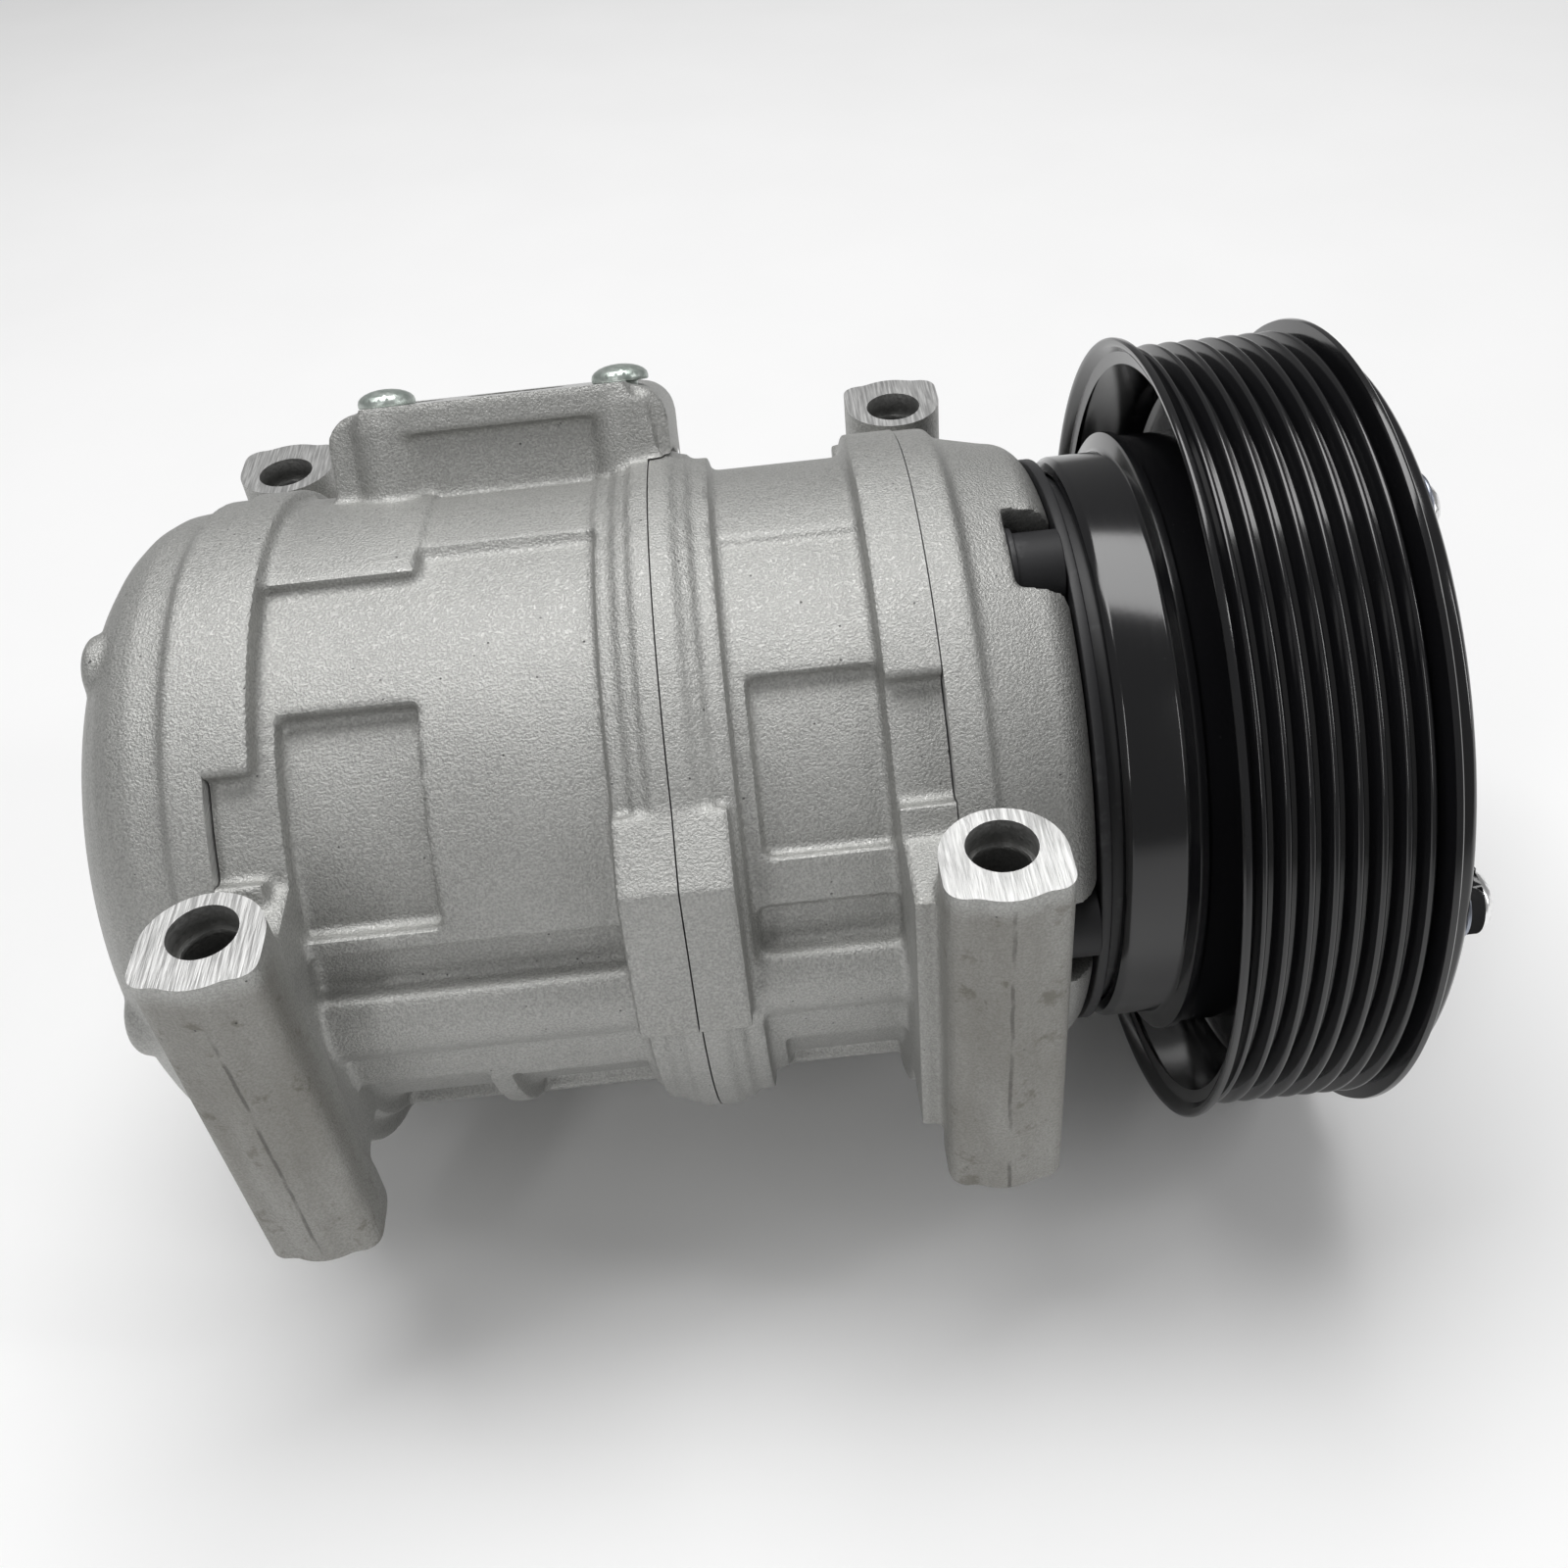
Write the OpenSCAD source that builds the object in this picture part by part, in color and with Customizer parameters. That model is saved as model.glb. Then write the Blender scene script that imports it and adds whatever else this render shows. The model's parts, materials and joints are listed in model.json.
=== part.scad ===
// Ten-cylinder swash-plate refrigerant compressor with an eight-groove clutch pulley.
// X runs along the shaft towards the clutch. Z runs up along the mounting bolts.
// The origin is midway between the two front ear holes, on the machined ear faces.

/* [Housing] */
// Distance from the machined ear faces down to the shaft axis
shaft_drop = 37.4; // [36:0.1:39]
// Radius of the joint flanges
flange_r = 60; // [59:0.5:61]
// Radius of the cylinder barrels over the through bolts
barrel_r = 56; // [55:0.5:57]
// Radius of the barrel floor in the casting windows
window_floor_r = 52.3; // [51.5:0.1:53]
// X of the joint between front head and front cylinder
front_joint_x = -4.3; // [-6:0.1:-3]
// Length of the front cylinder block
front_block_length = 42.9; // [42:0.1:44]
// Length of the rear cylinder block
rear_block_length = 70; // [69:0.5:71]
// Length of the rear head behind its joint
rear_head_length = 34.6; // [33:0.2:36]
// X of the flat nose face of the front head
front_face_x = 18.3; // [17.8:0.1:18.5]

/* [Pistons] */
// Cylinder bore radius
bore_r = 15.5; // [15:0.1:15.7]
// Radius of the circle that the bores stand on
bore_circle_r = 34; // [33.5:0.1:34.2]
// Piston stroke
stroke = 23.5; // [20:0.5:24]
// Radial clearance of a piston in its bore
piston_gap = 0.05; // [0.03:0.01:0.08]
// Rim radius of the swash plate
swash_r = 37; // [36:0.5:37.5]
// Thickness of the swash plate
swash_thick = 8; // [7:0.5:8.5]

/* [Bolts] */
// Radius of the circle that the through bolts stand on
bolt_circle_r = 48.6; // [48:0.1:49]
// Shank radius of the through bolts
bolt_r = 4; // [3.5:0.5:4]

/* [Ears] */
// Half distance between the near and far ear holes
ear_half_span = 63.8; // [63:0.1:65]
// X of the near rear ear hole
near_rear_ear_x = -114.7; // [-116:0.1:-113]
// X of the far rear ear hole
far_rear_ear_x = -123.5; // [-125:0.1:-122]
// Length of each ear column
ear_length = 69.4; // [66:0.2:70]
// Width of each ear column along the shaft
ear_width = 18.8; // [18:0.2:20]
// Radius of the ear bolt holes at the machined faces
ear_hole_r = 5.3; // [5.1:0.1:6]
// Radius of the ear bolt holes below their step
lower_hole_r = 4.3; // [4.1:0.1:4.6]
// Depth of the step in the ear bolt holes
ear_step = 4.4; // [4:0.1:9]

/* [Port block] */
// Height of the machined port face above the shaft axis
port_face_height = 73.2; // [72:0.2:75]
// Turn of the port block away from the ear bolts' direction
port_block_turn = 26.5; // [25:0.5:28]
// Suction port radius
suction_r = 9; // [8:0.5:9]
// Discharge port radius
discharge_r = 7.5; // [6.5:0.5:8]

/* [Pulley and clutch] */
// Outer radius of the pulley rims
rim_r = 71.6; // [71:0.1:73]
// Radius over the belt ribs
rib_r = 69.8; // [69:0.1:70]
// X of the pulley's rear rim
pulley_x = 35.2; // [35:0.1:36]
// Width of the pulley from rim to rim
pulley_width = 32.2; // [32:0.1:33]
// Pitch of the belt grooves
groove_pitch = 3.56; // [3.5:0.01:3.6]
// Number of belt grooves
groove_count = 8; // [6:1:8]
// Outer radius of the armature plate
armature_r = 67.3; // [66:0.1:68]
// Air gap between rotor face and armature
air_gap = 0.5; // [0.35:0.05:0.65]

/* [Hidden] */
round_fn = 96;
small_fn = 32;
// Small overshoot that makes cuts clean
eps = 1;

mid_joint_x = front_joint_x - front_block_length;
rear_joint_x = mid_joint_x - rear_block_length;
// Middle of the swash plate, halfway between the two heads
swash_x = (front_joint_x + rear_joint_x) / 2;
cylinder_count = 5;
sector = 360 / cylinder_count;
// Polar angles are measured about the shaft, from +Y towards +Z
first_bolt_angle = 104;
first_bore_angle = first_bolt_angle + sector / 2;
// The swash plate leans furthest forward at this polar angle
swash_phase = 122;
swash_tilt = atan(stroke / 2 / bore_circle_r);
piston_r = bore_r - piston_gap;
// Half length of a piston leaves half a millimetre at each valve plate
piston_half = (front_joint_x - rear_joint_x) / 2 - stroke / 2 - 0.5;
// Half length of the notch that straddles the swash plate
notch_half = 31.4;
notch_r = swash_r + 1.6;
shoe_r = 7;
shoe_seat = 5;
shoe_centre = notch_half - shoe_seat + shoe_r;
shoe_face = notch_half - 2;
shoe_crown = notch_half + 8;
chamber_half = 19.4;
chamber_r = 41;
// Shaft and bearings
shaft_r = 10;
cup_r = 14.5;
needle_r = 1.5;
needle_circle_r = shaft_r + needle_r + 0.02;
cup_inner_r = needle_circle_r + needle_r + 0.02;
needle_count = 12;
cup_length = 16;
front_cup_x = -38;
rear_cup_x = -99.5;
thrust_washer = 1;
thrust_roller_r = 1.2;
hub_half = 14.6;
// Valve pack in each head: reed leaf, plate and gasket
reed_thick = 0.4;
plate_thick = 3.2;
gasket_thick = 0.8;
pack_thick = reed_thick + plate_thick + gasket_thick;
pack_r = 53.4;
// Nose of the front head carries the pulley bearing
nose_r = 20;
// Floor of the pockets for the bolt heads
bolt_seat_x = 9.6;
nose_end_x = 62;
seal_bore_r = 14;
bearing_x = 36;
bearing_width = 22;
race_r = 31;
ball_r = 4.2;
ball_circle_r = 25.5;
ball_count = 12;
bearing_mid_x = bearing_x + bearing_width / 2;
rotor_face_x = pulley_x + pulley_width;
rotor_r = 52;
rotor_rear_x = 22.6;
coil_x = 20.4;
armature_x = rotor_face_x + air_gap;
armature_thick = 3.5;
spring_thick = 0.6;
hub_plate_x = armature_x + armature_thick + spring_thick;
hub_plate_thick = 2.2;
rivet_circle_r = 61;
armature_rivet_angle = 110;
hub_rivet_angle = 50;
arm_count = 3;
ear_outer = 73.5;
ear_inner = 56;
ear_gap = 0.5;

cast_colour = [0.66, 0.66, 0.64];
steel_colour = [0.55, 0.56, 0.58];
black_colour = [0.05, 0.05, 0.055];
copper_colour = [0.72, 0.42, 0.2];
piston_colour = [0.75, 0.75, 0.74];
rivet_colour = [0.8, 0.8, 0.8];
rubber_colour = [0.1, 0.1, 0.1];

// ---- building helpers ----

module on_shaft() {
    translate([0, 0, -shaft_drop]) children();
}

// Solid round bar along the shaft axis
module bar(r, x0, x1, fn = round_fn) {
    translate([x0, 0, 0]) rotate([0, 90, 0]) cylinder(r = r, h = x1 - x0, $fn = fn);
}

module tube(outer, inner, x0, x1) {
    difference() {
        bar(outer, x0, x1);
        bar(inner, x0 - eps, x1 + eps);
    }
}

// Turned shape: each point is [radius, x]
module turned(points) {
    rotate([0, 90, 0]) rotate_extrude($fn = round_fn) polygon(points);
}

module at_polar(angle, radius) {
    translate([0, radius * cos(angle), radius * sin(angle)]) children();
}

// Pie slice about the shaft between two polar angles
module slice(a0, a1, x0, x1, r = 90) {
    mid = (a0 + a1) / 2;
    tip = r / cos((a1 - a0) / 2) * 1.2;
    translate([x0, 0, 0]) rotate([90, 0, 90]) linear_extrude(x1 - x0) polygon([
        [0, 0],
        [r * cos(a0), r * sin(a0)],
        [tip * cos(mid), tip * sin(mid)],
        [r * cos(a1), r * sin(a1)]
    ]);
}

// Part of a tube between two polar angles
module tube_slice(outer, inner, a0, a1, x0, x1) {
    intersection() {
        tube(outer, inner, x0, x1);
        slice(a0, a1, x0 - eps, x1 + eps);
    }
}

module at_each_bore() {
    for (k = [0 : cylinder_count - 1]) at_polar(first_bore_angle + k * sector, bore_circle_r) children();
}

module at_each_bolt(radius = bolt_circle_r) {
    for (k = [0 : cylinder_count - 1]) at_polar(first_bolt_angle + k * sector, radius) children();
}

module bolt_holes(x0, x1) {
    at_each_bolt() bar(bolt_r + 0.25, x0, x1, small_fn);
}

// ---- mounting ears ----

// One ear column, standing at (x, side * ear_half_span), with its top at the origin plane
module ear_column(x, side) {
    corner = 3;
    half = ear_width / 2;
    translate([x, 0, -ear_length]) to_side(side) linear_extrude(ear_length) {
        translate([0, ear_inner + half]) circle(r = half, $fn = round_fn);
        translate([-half, ear_inner + half]) square([ear_width, ear_outer - corner - ear_inner - half]);
        translate([-half + corner, ear_outer - 2 * corner]) square([ear_width - 2 * corner, 2 * corner]);
        for (s = [-1, 1]) translate([s * (half - corner), ear_outer - corner]) circle(r = corner, $fn = small_fn);
    }
}

// Mirrors to the near side when side is -1
module to_side(side) {
    if (side < 0) mirror([0, 1, 0]) children();
    else children();
}

// Web that joins an ear column to the barrel between two X values
module ear_web(side, x0, x1) {
    bottom = -ear_length + 7;
    translate([x0, 0, bottom]) to_side(side) translate([0, 40, 0]) cube([x1 - x0, 26, ear_length - 15]);
}

// Upright hole that reaches down from the machined face by the given depth
module ear_hole(x, side, r, depth) {
    translate([x, side * ear_half_span, -depth]) cylinder(r = r, h = depth + eps, $fn = small_fn);
}

// A stepped hole: wide above, narrow below
module stepped_ear_hole(x, side) {
    ear_hole(x, side, lower_hole_r, ear_length + eps);
    ear_hole(x, side, ear_hole_r, ear_step);
}

// Room that a head leaves around an ear column
module ear_room(x, side) {
    width = ear_width + 2 * ear_gap;
    translate([x - width / 2, 0, -ear_length - 20]) to_side(side)
        translate([0, ear_inner - ear_gap, 0]) cube([width, 40, ear_length + 60]);
}

// ---- rear head ----

module rear_head() {
    band = 7.6;
    dome_r = 58.2;
    dome_x = rear_joint_x - band;
    dome_depth = rear_head_length - band;
    steps = 12;
    // Rounded dome outline, steep at the rim and nearly flat at the middle
    dome = [for (i = [0 : steps]) let (t = sin(90 * i / steps))
        [dome_r * t, dome_x - dome_depth * pow(1 - pow(t, 1.5), 0.39)]];
    boss_r = 6.6;
    boss_x = rear_joint_x - 23.8;
    color(cast_colour) on_shaft() difference() {
        union() {
            turned(concat(dome, [[dome_r, dome_x + 0.6], [flange_r - 0.4, dome_x + 1.6]],
                [[flange_r - 0.4, rear_joint_x], [0, rear_joint_x]]));
            at_each_bolt(bolt_circle_r - 0.6) mirror([1, 0, 0])
                turned(concat([[0, -dome_x], [boss_r, -dome_x]], domed_end(boss_r, -boss_x - 3, 3)));
        }
        // Seat of the valve pack
        bar(pack_r + 0.1, rear_joint_x - pack_thick, rear_joint_x + eps);
        head_chambers(dome_x - 10, rear_joint_x - pack_thick + eps);
        at_each_bolt() bar(bolt_r - 0.5, boss_x + 4, rear_joint_x + eps, small_fn);
        translate([0, 0, shaft_drop]) ear_room(near_rear_ear_x, -1);
        translate([0, 0, shaft_drop]) ear_room(far_rear_ear_x, 1);
    }
}

// Inner discharge chamber and outer suction chamber, clear of the bolt bosses
module head_chambers(x0, x1, inner = 6) {
    difference() {
        bar(46, x0, x1);
        bar(28, x0 - eps, x1 + eps);
        at_each_bolt() bar(9, x0 - eps, x1 + eps, small_fn);
    }
    tube(25, inner, x0, x1);
}

// ---- cylinder blocks ----

// Everything that is bored through a cylinder block
module block_bores(x0, x1) {
    at_each_bore() bar(bore_r, x0 - eps, x1 + eps);
    bolt_holes(x0 - eps, x1 + eps);
    bar(shaft_r + 1.5, x0 - eps, x1 + eps);
    bar(chamber_r, swash_x - chamber_half, swash_x + chamber_half);
}

// Shallow windows in the barrel wall over the bores
module casting_window(a0, a1, x0, x1) {
    tube_slice(flange_r + 6, window_floor_r, a0, a1, x0, x1);
}

module rear_cylinder() {
    flange_width = 7.4;
    mid_flange_width = 9.1;
    window_x0 = rear_joint_x + 10.2;
    window_x1 = rear_joint_x + 32.2;
    lower_x1 = mid_joint_x - mid_flange_width;
    color(cast_colour) difference() {
        union() {
            on_shaft() {
                bar(barrel_r, rear_joint_x, mid_joint_x);
                bar(flange_r + 0.4, rear_joint_x, rear_joint_x + flange_width);
                mid_flange(lower_x1, mid_joint_x, 3.2);
                // Pad beside the port block, and the bulge over the swash chamber
                tube_slice(58.4, 40, 56, 98, rear_joint_x + 5, window_x1);
                tube_slice(57.6, 40, 40, 92, window_x1 - 1, lower_x1 + 1);
                mid_lug(mid_joint_x - 9.6, mid_joint_x);
                bolt_bulge(rear_joint_x, mid_joint_x);
                port_block();
                rear_foot();
            }
            ear_column(near_rear_ear_x, -1);
            ear_column(far_rear_ear_x, 1);
            ear_web(-1, near_rear_ear_x - 1, near_rear_ear_x + 8);
            ear_web(1, rear_joint_x, far_rear_ear_x + 20);
        }
        on_shaft() {
            block_bores(rear_joint_x, mid_joint_x);
            bar(cup_r, rear_cup_x, swash_x);
            for (k = [0 : 3]) casting_window(first_bore_angle + k * sector - 18.5,
                first_bore_angle + k * sector + 18.5, window_x0, window_x1);
            for (k = [1 : 3]) casting_window(first_bore_angle + k * sector - 17,
                first_bore_angle + k * sector + 17, window_x1 + 4, lower_x1 - 2);
            bulge_hollow(window_x0, lower_x1 - 1);
            // The flange is cut back between its raised stretches
            tube_slice(flange_r + 3, barrel_r + 0.8, 131, 147, rear_joint_x - eps, rear_joint_x + flange_width + eps);
            // The port block overhangs the front block only outside its flange
            bar(flange_r + 0.8, mid_joint_x, mid_joint_x + 6);
            port_holes();
            o_ring_groove(mid_joint_x, 1);
        }
        stepped_ear_hole(near_rear_ear_x, -1);
        stepped_ear_hole(far_rear_ear_x, 1);
    }
}

// Stepped flange of one cylinder block at the middle joint, with its outer ring at the joint
module mid_flange(x0, x1, ring, at_start = false) {
    step = 2.6;
    bar(flange_r - 1.6, x0, x1);
    bar(flange_r - 0.5, at_start ? x0 : x1 - ring - step, at_start ? x0 + ring + step : x1);
    bar(flange_r + 0.5, at_start ? x0 : x1 - ring, at_start ? x0 + ring : x1);
}

// Bulge of a cylinder block over the near through bolt
module bolt_bulge(x0, x1) {
    at_polar(first_bolt_angle + sector, bolt_circle_r + 0.6) bar(9.8, x0, x1);
}

// Hollow along a cylinder block above that bulge
module bulge_hollow(x0, x1) {
    a = first_bolt_angle + sector;
    tube_slice(flange_r + 6, window_floor_r + 0.7, a - 14.5, a - 6.5, x0, x1);
}

// Square lug on the near side of the middle joint
module mid_lug(x0, x1) {
    translate([x0, 0, 0]) rotate([90, 0, 90]) linear_extrude(x1 - x0)
        polygon([[-40, 30], [-48.5, 36.5], [-59, 29.5], [-64.8, 4], [-58, 0], [-40, 0]]);
}

// Cast foot under the rear cylinder
module rear_foot() {
    at_polar(first_bolt_angle + 2 * sector, 52) bar(9, rear_joint_x, rear_joint_x + 16);
}

// Half groove for the ring between the two blocks
module o_ring_groove(x, depth) {
    tube(55.4, 53.6, x - depth, x + depth);
}

module front_cylinder() {
    flange_width = 9;
    mid_flange_width = 9.9;
    upper_x0 = mid_joint_x + mid_flange_width;
    window_x0 = mid_joint_x + 13;
    window_x1 = front_joint_x - flange_width - 0.2;
    color(cast_colour) difference() {
        union() {
            on_shaft() {
                bar(barrel_r - 1, mid_joint_x, front_joint_x);
                bar(flange_r - 0.2, front_joint_x - flange_width, front_joint_x);
                mid_flange(mid_joint_x, upper_x0, 3.6, true);
                tube_slice(56, 40, 40, 96, upper_x0 - 1, window_x1 + 1);
                bolt_bulge(mid_joint_x, front_joint_x);
                mid_lug(mid_joint_x, mid_joint_x + 8.4);
            }
            for (side = [-1, 1]) {
                ear_column(0, side);
                ear_web(side, -13, front_joint_x);
            }
        }
        on_shaft() {
            block_bores(mid_joint_x, front_joint_x);
            bar(cup_r, swash_x, front_cup_x + cup_length);
            for (k = [0 : 3]) casting_window(first_bore_angle + k * sector - 17,
                first_bore_angle + k * sector + 13, window_x0, window_x1);
            bulge_hollow(upper_x0 + 1, window_x1);
            tube_slice(flange_r + 3, barrel_r, 127, 146, front_joint_x - flange_width - eps, front_joint_x + eps);
            o_ring_groove(mid_joint_x, 1);
        }
        for (side = [-1, 1]) stepped_ear_hole(0, side);
    }
}

// ---- port block ----

module port_frame() {
    rotate([-port_block_turn, 0, 0]) children();
}

module port_block() {
    x0 = rear_joint_x + 15;
    x1 = mid_joint_x + 4;
    near = 7.2;
    far = 29;
    corner = 6;
    top = port_face_height - 0.6;
    boss = 6.8;
    port_frame() {
        // Main block with rounded ends, drawn from the side
        translate([0, far, 0]) rotate([90, 0, 0]) linear_extrude(far + near) {
            translate([x0, 30]) square([x1 - x0, top - corner - 30]);
            translate([x0 + corner, 30]) square([x1 - x0 - 2 * corner, top - 30]);
            translate([x0 + corner, top - corner]) circle(r = corner, $fn = small_fn);
            translate([x1 - corner, top - corner]) circle(r = corner, $fn = small_fn);
        }
        // Lip and machined port face
        translate([x0 + corner, -near - 2.3, top - 4.4]) cube([x1 - x0 - 2 * corner, far + near + 2.3, 4.4]);
        translate([x0 + corner + 1, -near - 1.8, top - 1]) cube([x1 - x0 - 2 * corner - 2, far + near + 1, 1.6]);
        // Bolt bosses on the near side
        for (x = port_bolt_x) translate([x, -near + 4, 40]) cylinder(r = boss, h = top - 42, $fn = round_fn);
    }
}

port_bolt_x = [rear_joint_x + 25, mid_joint_x - 3.8];
port_bolt_y = 0;
suction_x = mid_joint_x - 24;
discharge_x = rear_joint_x + 33;
port_y = 13;

module port_holes() {
    port_frame() {
        translate([suction_x, port_y, 56]) cylinder(r = suction_r, h = 40, $fn = round_fn);
        translate([discharge_x - 8, port_y, 56]) cylinder(r = discharge_r, h = 40, $fn = round_fn);
        for (x = port_bolt_x) translate([x, port_bolt_y, 57]) cylinder(r = 3, h = 40, $fn = small_fn);
    }
}

module port_bolts() {
    head_r = 5;
    color(steel_colour) on_shaft() port_frame() for (x = port_bolt_x)
        translate([x, port_bolt_y, port_face_height]) {
            rotate_extrude($fn = round_fn)
                polygon(concat([[0, -15], [3, -15], [3, 0], [head_r, 0]], domed_end(head_r, 0.8, 2.2)));
        }
}

// ---- front head ----

module front_head() {
    band = 6.6;
    corner = 6.5;
    face_r = 56.2 - corner;
    arc_steps = 6;
    rounding = [for (i = [0 : arc_steps]) let (a = 90 * i / arc_steps)
        [face_r - 0.6 + corner * cos(a), front_face_x - corner + corner * sin(a)]];
    pocket_x = bolt_seat_x;
    color(cast_colour) on_shaft() difference() {
        union() {
            turned(concat([[0, front_joint_x], [flange_r - 0.5, front_joint_x]],
                [[flange_r - 0.5, front_joint_x + band - 1], [57.6, front_joint_x + band + 0.4]],
                rounding, [[0, front_face_x]]));
            // Nose that carries the coil and the pulley bearing
            bar(nose_r + 2.5, front_face_x - eps, bearing_x);
            bar(nose_r, front_face_x - eps, nose_end_x);
        }
        bar(pack_r + 0.1, front_joint_x - eps, front_joint_x + pack_thick);
        head_chambers(front_joint_x + pack_thick - eps, 9, 17);
        bar(shaft_r + 1.5, front_joint_x - eps, 30);
        bar(seal_bore_r, 26, nose_end_x + eps);
        tube(seal_bore_r + 1.2, seal_bore_r - eps, 44, 45.6);
        tube(nose_r + 1, nose_r - 0.9, bearing_x + bearing_width, bearing_x + bearing_width + 1.7);
        tube(nose_r + 3.5, nose_r + 1.2, coil_x, coil_x + 1.3);
        bolt_holes(front_joint_x - eps, front_face_x);
        // Open pockets for the bolt heads
        for (k = [0 : cylinder_count - 1]) rotate([first_bolt_angle + k * sector, 0, 0]) {
            translate([pocket_x, bolt_circle_r - 1, -8.3]) cube([20, 20, 16.6]);
            translate([pocket_x, bolt_circle_r - 1, 0]) rotate([0, 90, 0]) cylinder(r = 8.3, h = 20, $fn = small_fn);
        }
        for (side = [-1, 1]) translate([0, 0, shaft_drop]) ear_room(0, side);
    }
}

// ---- through bolts ----

module through_bolts() {
    head_r = 6.4;
    washer = 1;
    head_x = bolt_seat_x + washer;
    head_end = front_face_x - 0.1;
    tip_x = rear_joint_x - 19;
    color(black_colour) on_shaft() at_each_bolt() difference() {
        union() {
            bar(bolt_r, rear_joint_x - 1, head_x, small_fn);
            bar(bolt_r - 0.5, tip_x, rear_joint_x, small_fn);
            bar(head_r, head_x, head_end, round_fn);
            // Sealing washer under the head
            bar(head_r + 0.9, bolt_seat_x, head_x, round_fn);
        }
        translate([head_x + 4, 0, 0]) rotate([0, 90, 0]) cylinder(r = 3.6, h = 10, $fn = 6);
    }
}

// ---- valve packs ----

// direction is 1 for the front head and -1 for the rear head; offset is the distance from the joint
module pack_layer(joint, direction, offset, thick) {
    start = direction > 0 ? joint + offset : joint - offset - thick;
    difference() {
        bar(pack_r, start, start + thick);
        bar(12.5, start - eps, start + thick + eps);
        bolt_holes(start - eps, start + thick + eps);
        children();
    }
}

module valve_plate(joint, direction) {
    color(steel_colour) on_shaft() pack_layer(joint, direction, reed_thick, plate_thick)
        for (k = [0 : cylinder_count - 1]) {
            a = first_bore_angle + k * sector;
            at_polar(a - 9, 41) bar(3, joint - 9, joint + 9, small_fn);
            at_polar(a + 9, 41) bar(3, joint - 9, joint + 9, small_fn);
            at_polar(a, 22.5) bar(2.3, joint - 9, joint + 9, small_fn);
        }
}

module gasket(joint, direction) {
    color(rubber_colour) on_shaft() pack_layer(joint, direction, reed_thick + plate_thick, gasket_thick) {
        difference() {
            bar(46, joint - 9, joint + 9);
            bar(28, joint - 10, joint + 10);
            at_each_bolt() bar(9, joint - 10, joint + 10, small_fn);
        }
        tube(25, 15, joint - 9, joint + 9);
    }
}

// Star of suction leaves between block and plate
module reeds(joint, direction) {
    start = direction > 0 ? joint : joint - reed_thick;
    color(steel_colour) on_shaft() difference() {
        bar(pack_r, start, start + reed_thick);
        bar(16, start - eps, start + reed_thick + eps);
        bolt_holes(start - eps, start + reed_thick + eps);
        // A slot frees each leaf on both sides
        for (k = [0 : cylinder_count - 1], s = [-1, 1]) rotate([first_bore_angle + k * sector, 0, 0])
            translate([start - eps, 26, s * 9.5 - 0.7]) cube([reed_thick + 2 * eps, 19, 1.4]);
        for (k = [0 : cylinder_count - 1]) at_polar(first_bore_angle + k * sector, 22.5)
            bar(2.6, start - eps, start + reed_thick + eps, small_fn);
    }
}

module housing_o_rings() {
    color(rubber_colour) on_shaft() turned_ring(mid_joint_x, 54.5, 0.85);
}

// Round-section ring
module turned_ring(x, r, wire_r) {
    translate([x, 0, 0]) rotate([0, 90, 0]) rotate_extrude($fn = round_fn)
        translate([r, 0]) circle(r = wire_r, $fn = small_fn);
}

// ---- shaft bearings ----

module bearing_cup(x) {
    color(steel_colour) on_shaft() tube(cup_r, cup_inner_r, x, x + cup_length);
}

module needles(x) {
    color(steel_colour) on_shaft() for (k = [0 : needle_count - 1])
        at_polar(k * 360 / needle_count, needle_circle_r) bar(needle_r, x + 2, x + cup_length - 2, small_fn);
}

// Two washers with room for the rollers between them
module thrust_washers(x) {
    gap = 2 * thrust_roller_r + 0.04;
    color(steel_colour) on_shaft() {
        tube(17, shaft_r + 0.6, x, x + thrust_washer);
        tube(17, shaft_r + 0.6, x + thrust_washer + gap, x + 2 * thrust_washer + gap);
    }
}

module thrust_rollers(x) {
    count = 12;
    color(steel_colour) on_shaft() for (k = [0 : count - 1]) rotate([k * 360 / count, 0, 0])
        translate([x + thrust_washer + 0.02 + thrust_roller_r, 11.4, 0]) rotate([-90, 0, 0])
            cylinder(r = thrust_roller_r, h = 4.6, $fn = small_fn);
}

// ---- shaft and swash plate ----

module shaft() {
    rear_x = -108;
    seat_x = 30;
    hub_x = 52;
    color(steel_colour) on_shaft() difference() {
        union() {
            turned([[0, rear_x], [shaft_r - 1, rear_x], [shaft_r, rear_x + 1], [shaft_r, seat_x],
                [8.5, seat_x + 1], [8.5, hub_x], [8, hub_x], [8, 70.4], [7.4, 71], [0, 71]]);
        }
        bar(3, 58, 72, small_fn);
    }
}

module swash_plate() {
    color(steel_colour) on_shaft() difference() {
        union() {
            bar(17, swash_x - hub_half, swash_x + hub_half);
            intersection() {
                bar(swash_r, swash_x - 30, swash_x + 30);
                translate([swash_x, 0, 0]) rotate([swash_phase, 0, 0]) rotate([0, 0, -swash_tilt])
                    cube([swash_thick, 120, 120], center = true);
            }
        }
        bar(shaft_r, swash_x - 40, swash_x + 40);
    }
}

// ---- pistons and shoes ----

// Axial offset of a piston from the middle, where the swash plate holds it at rest
function piston_offset(k) = stroke / 2 * cos(first_bore_angle + k * sector - swash_phase);

// Ball outline from one angle to another about a centre on the shaft direction
function ball_outline(r, centre, a0, a1) = let (steps = 18)
    [for (i = [0 : steps]) let (a = a0 + (a1 - a0) * i / steps) [r * cos(a), centre + r * sin(a)]];

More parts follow.
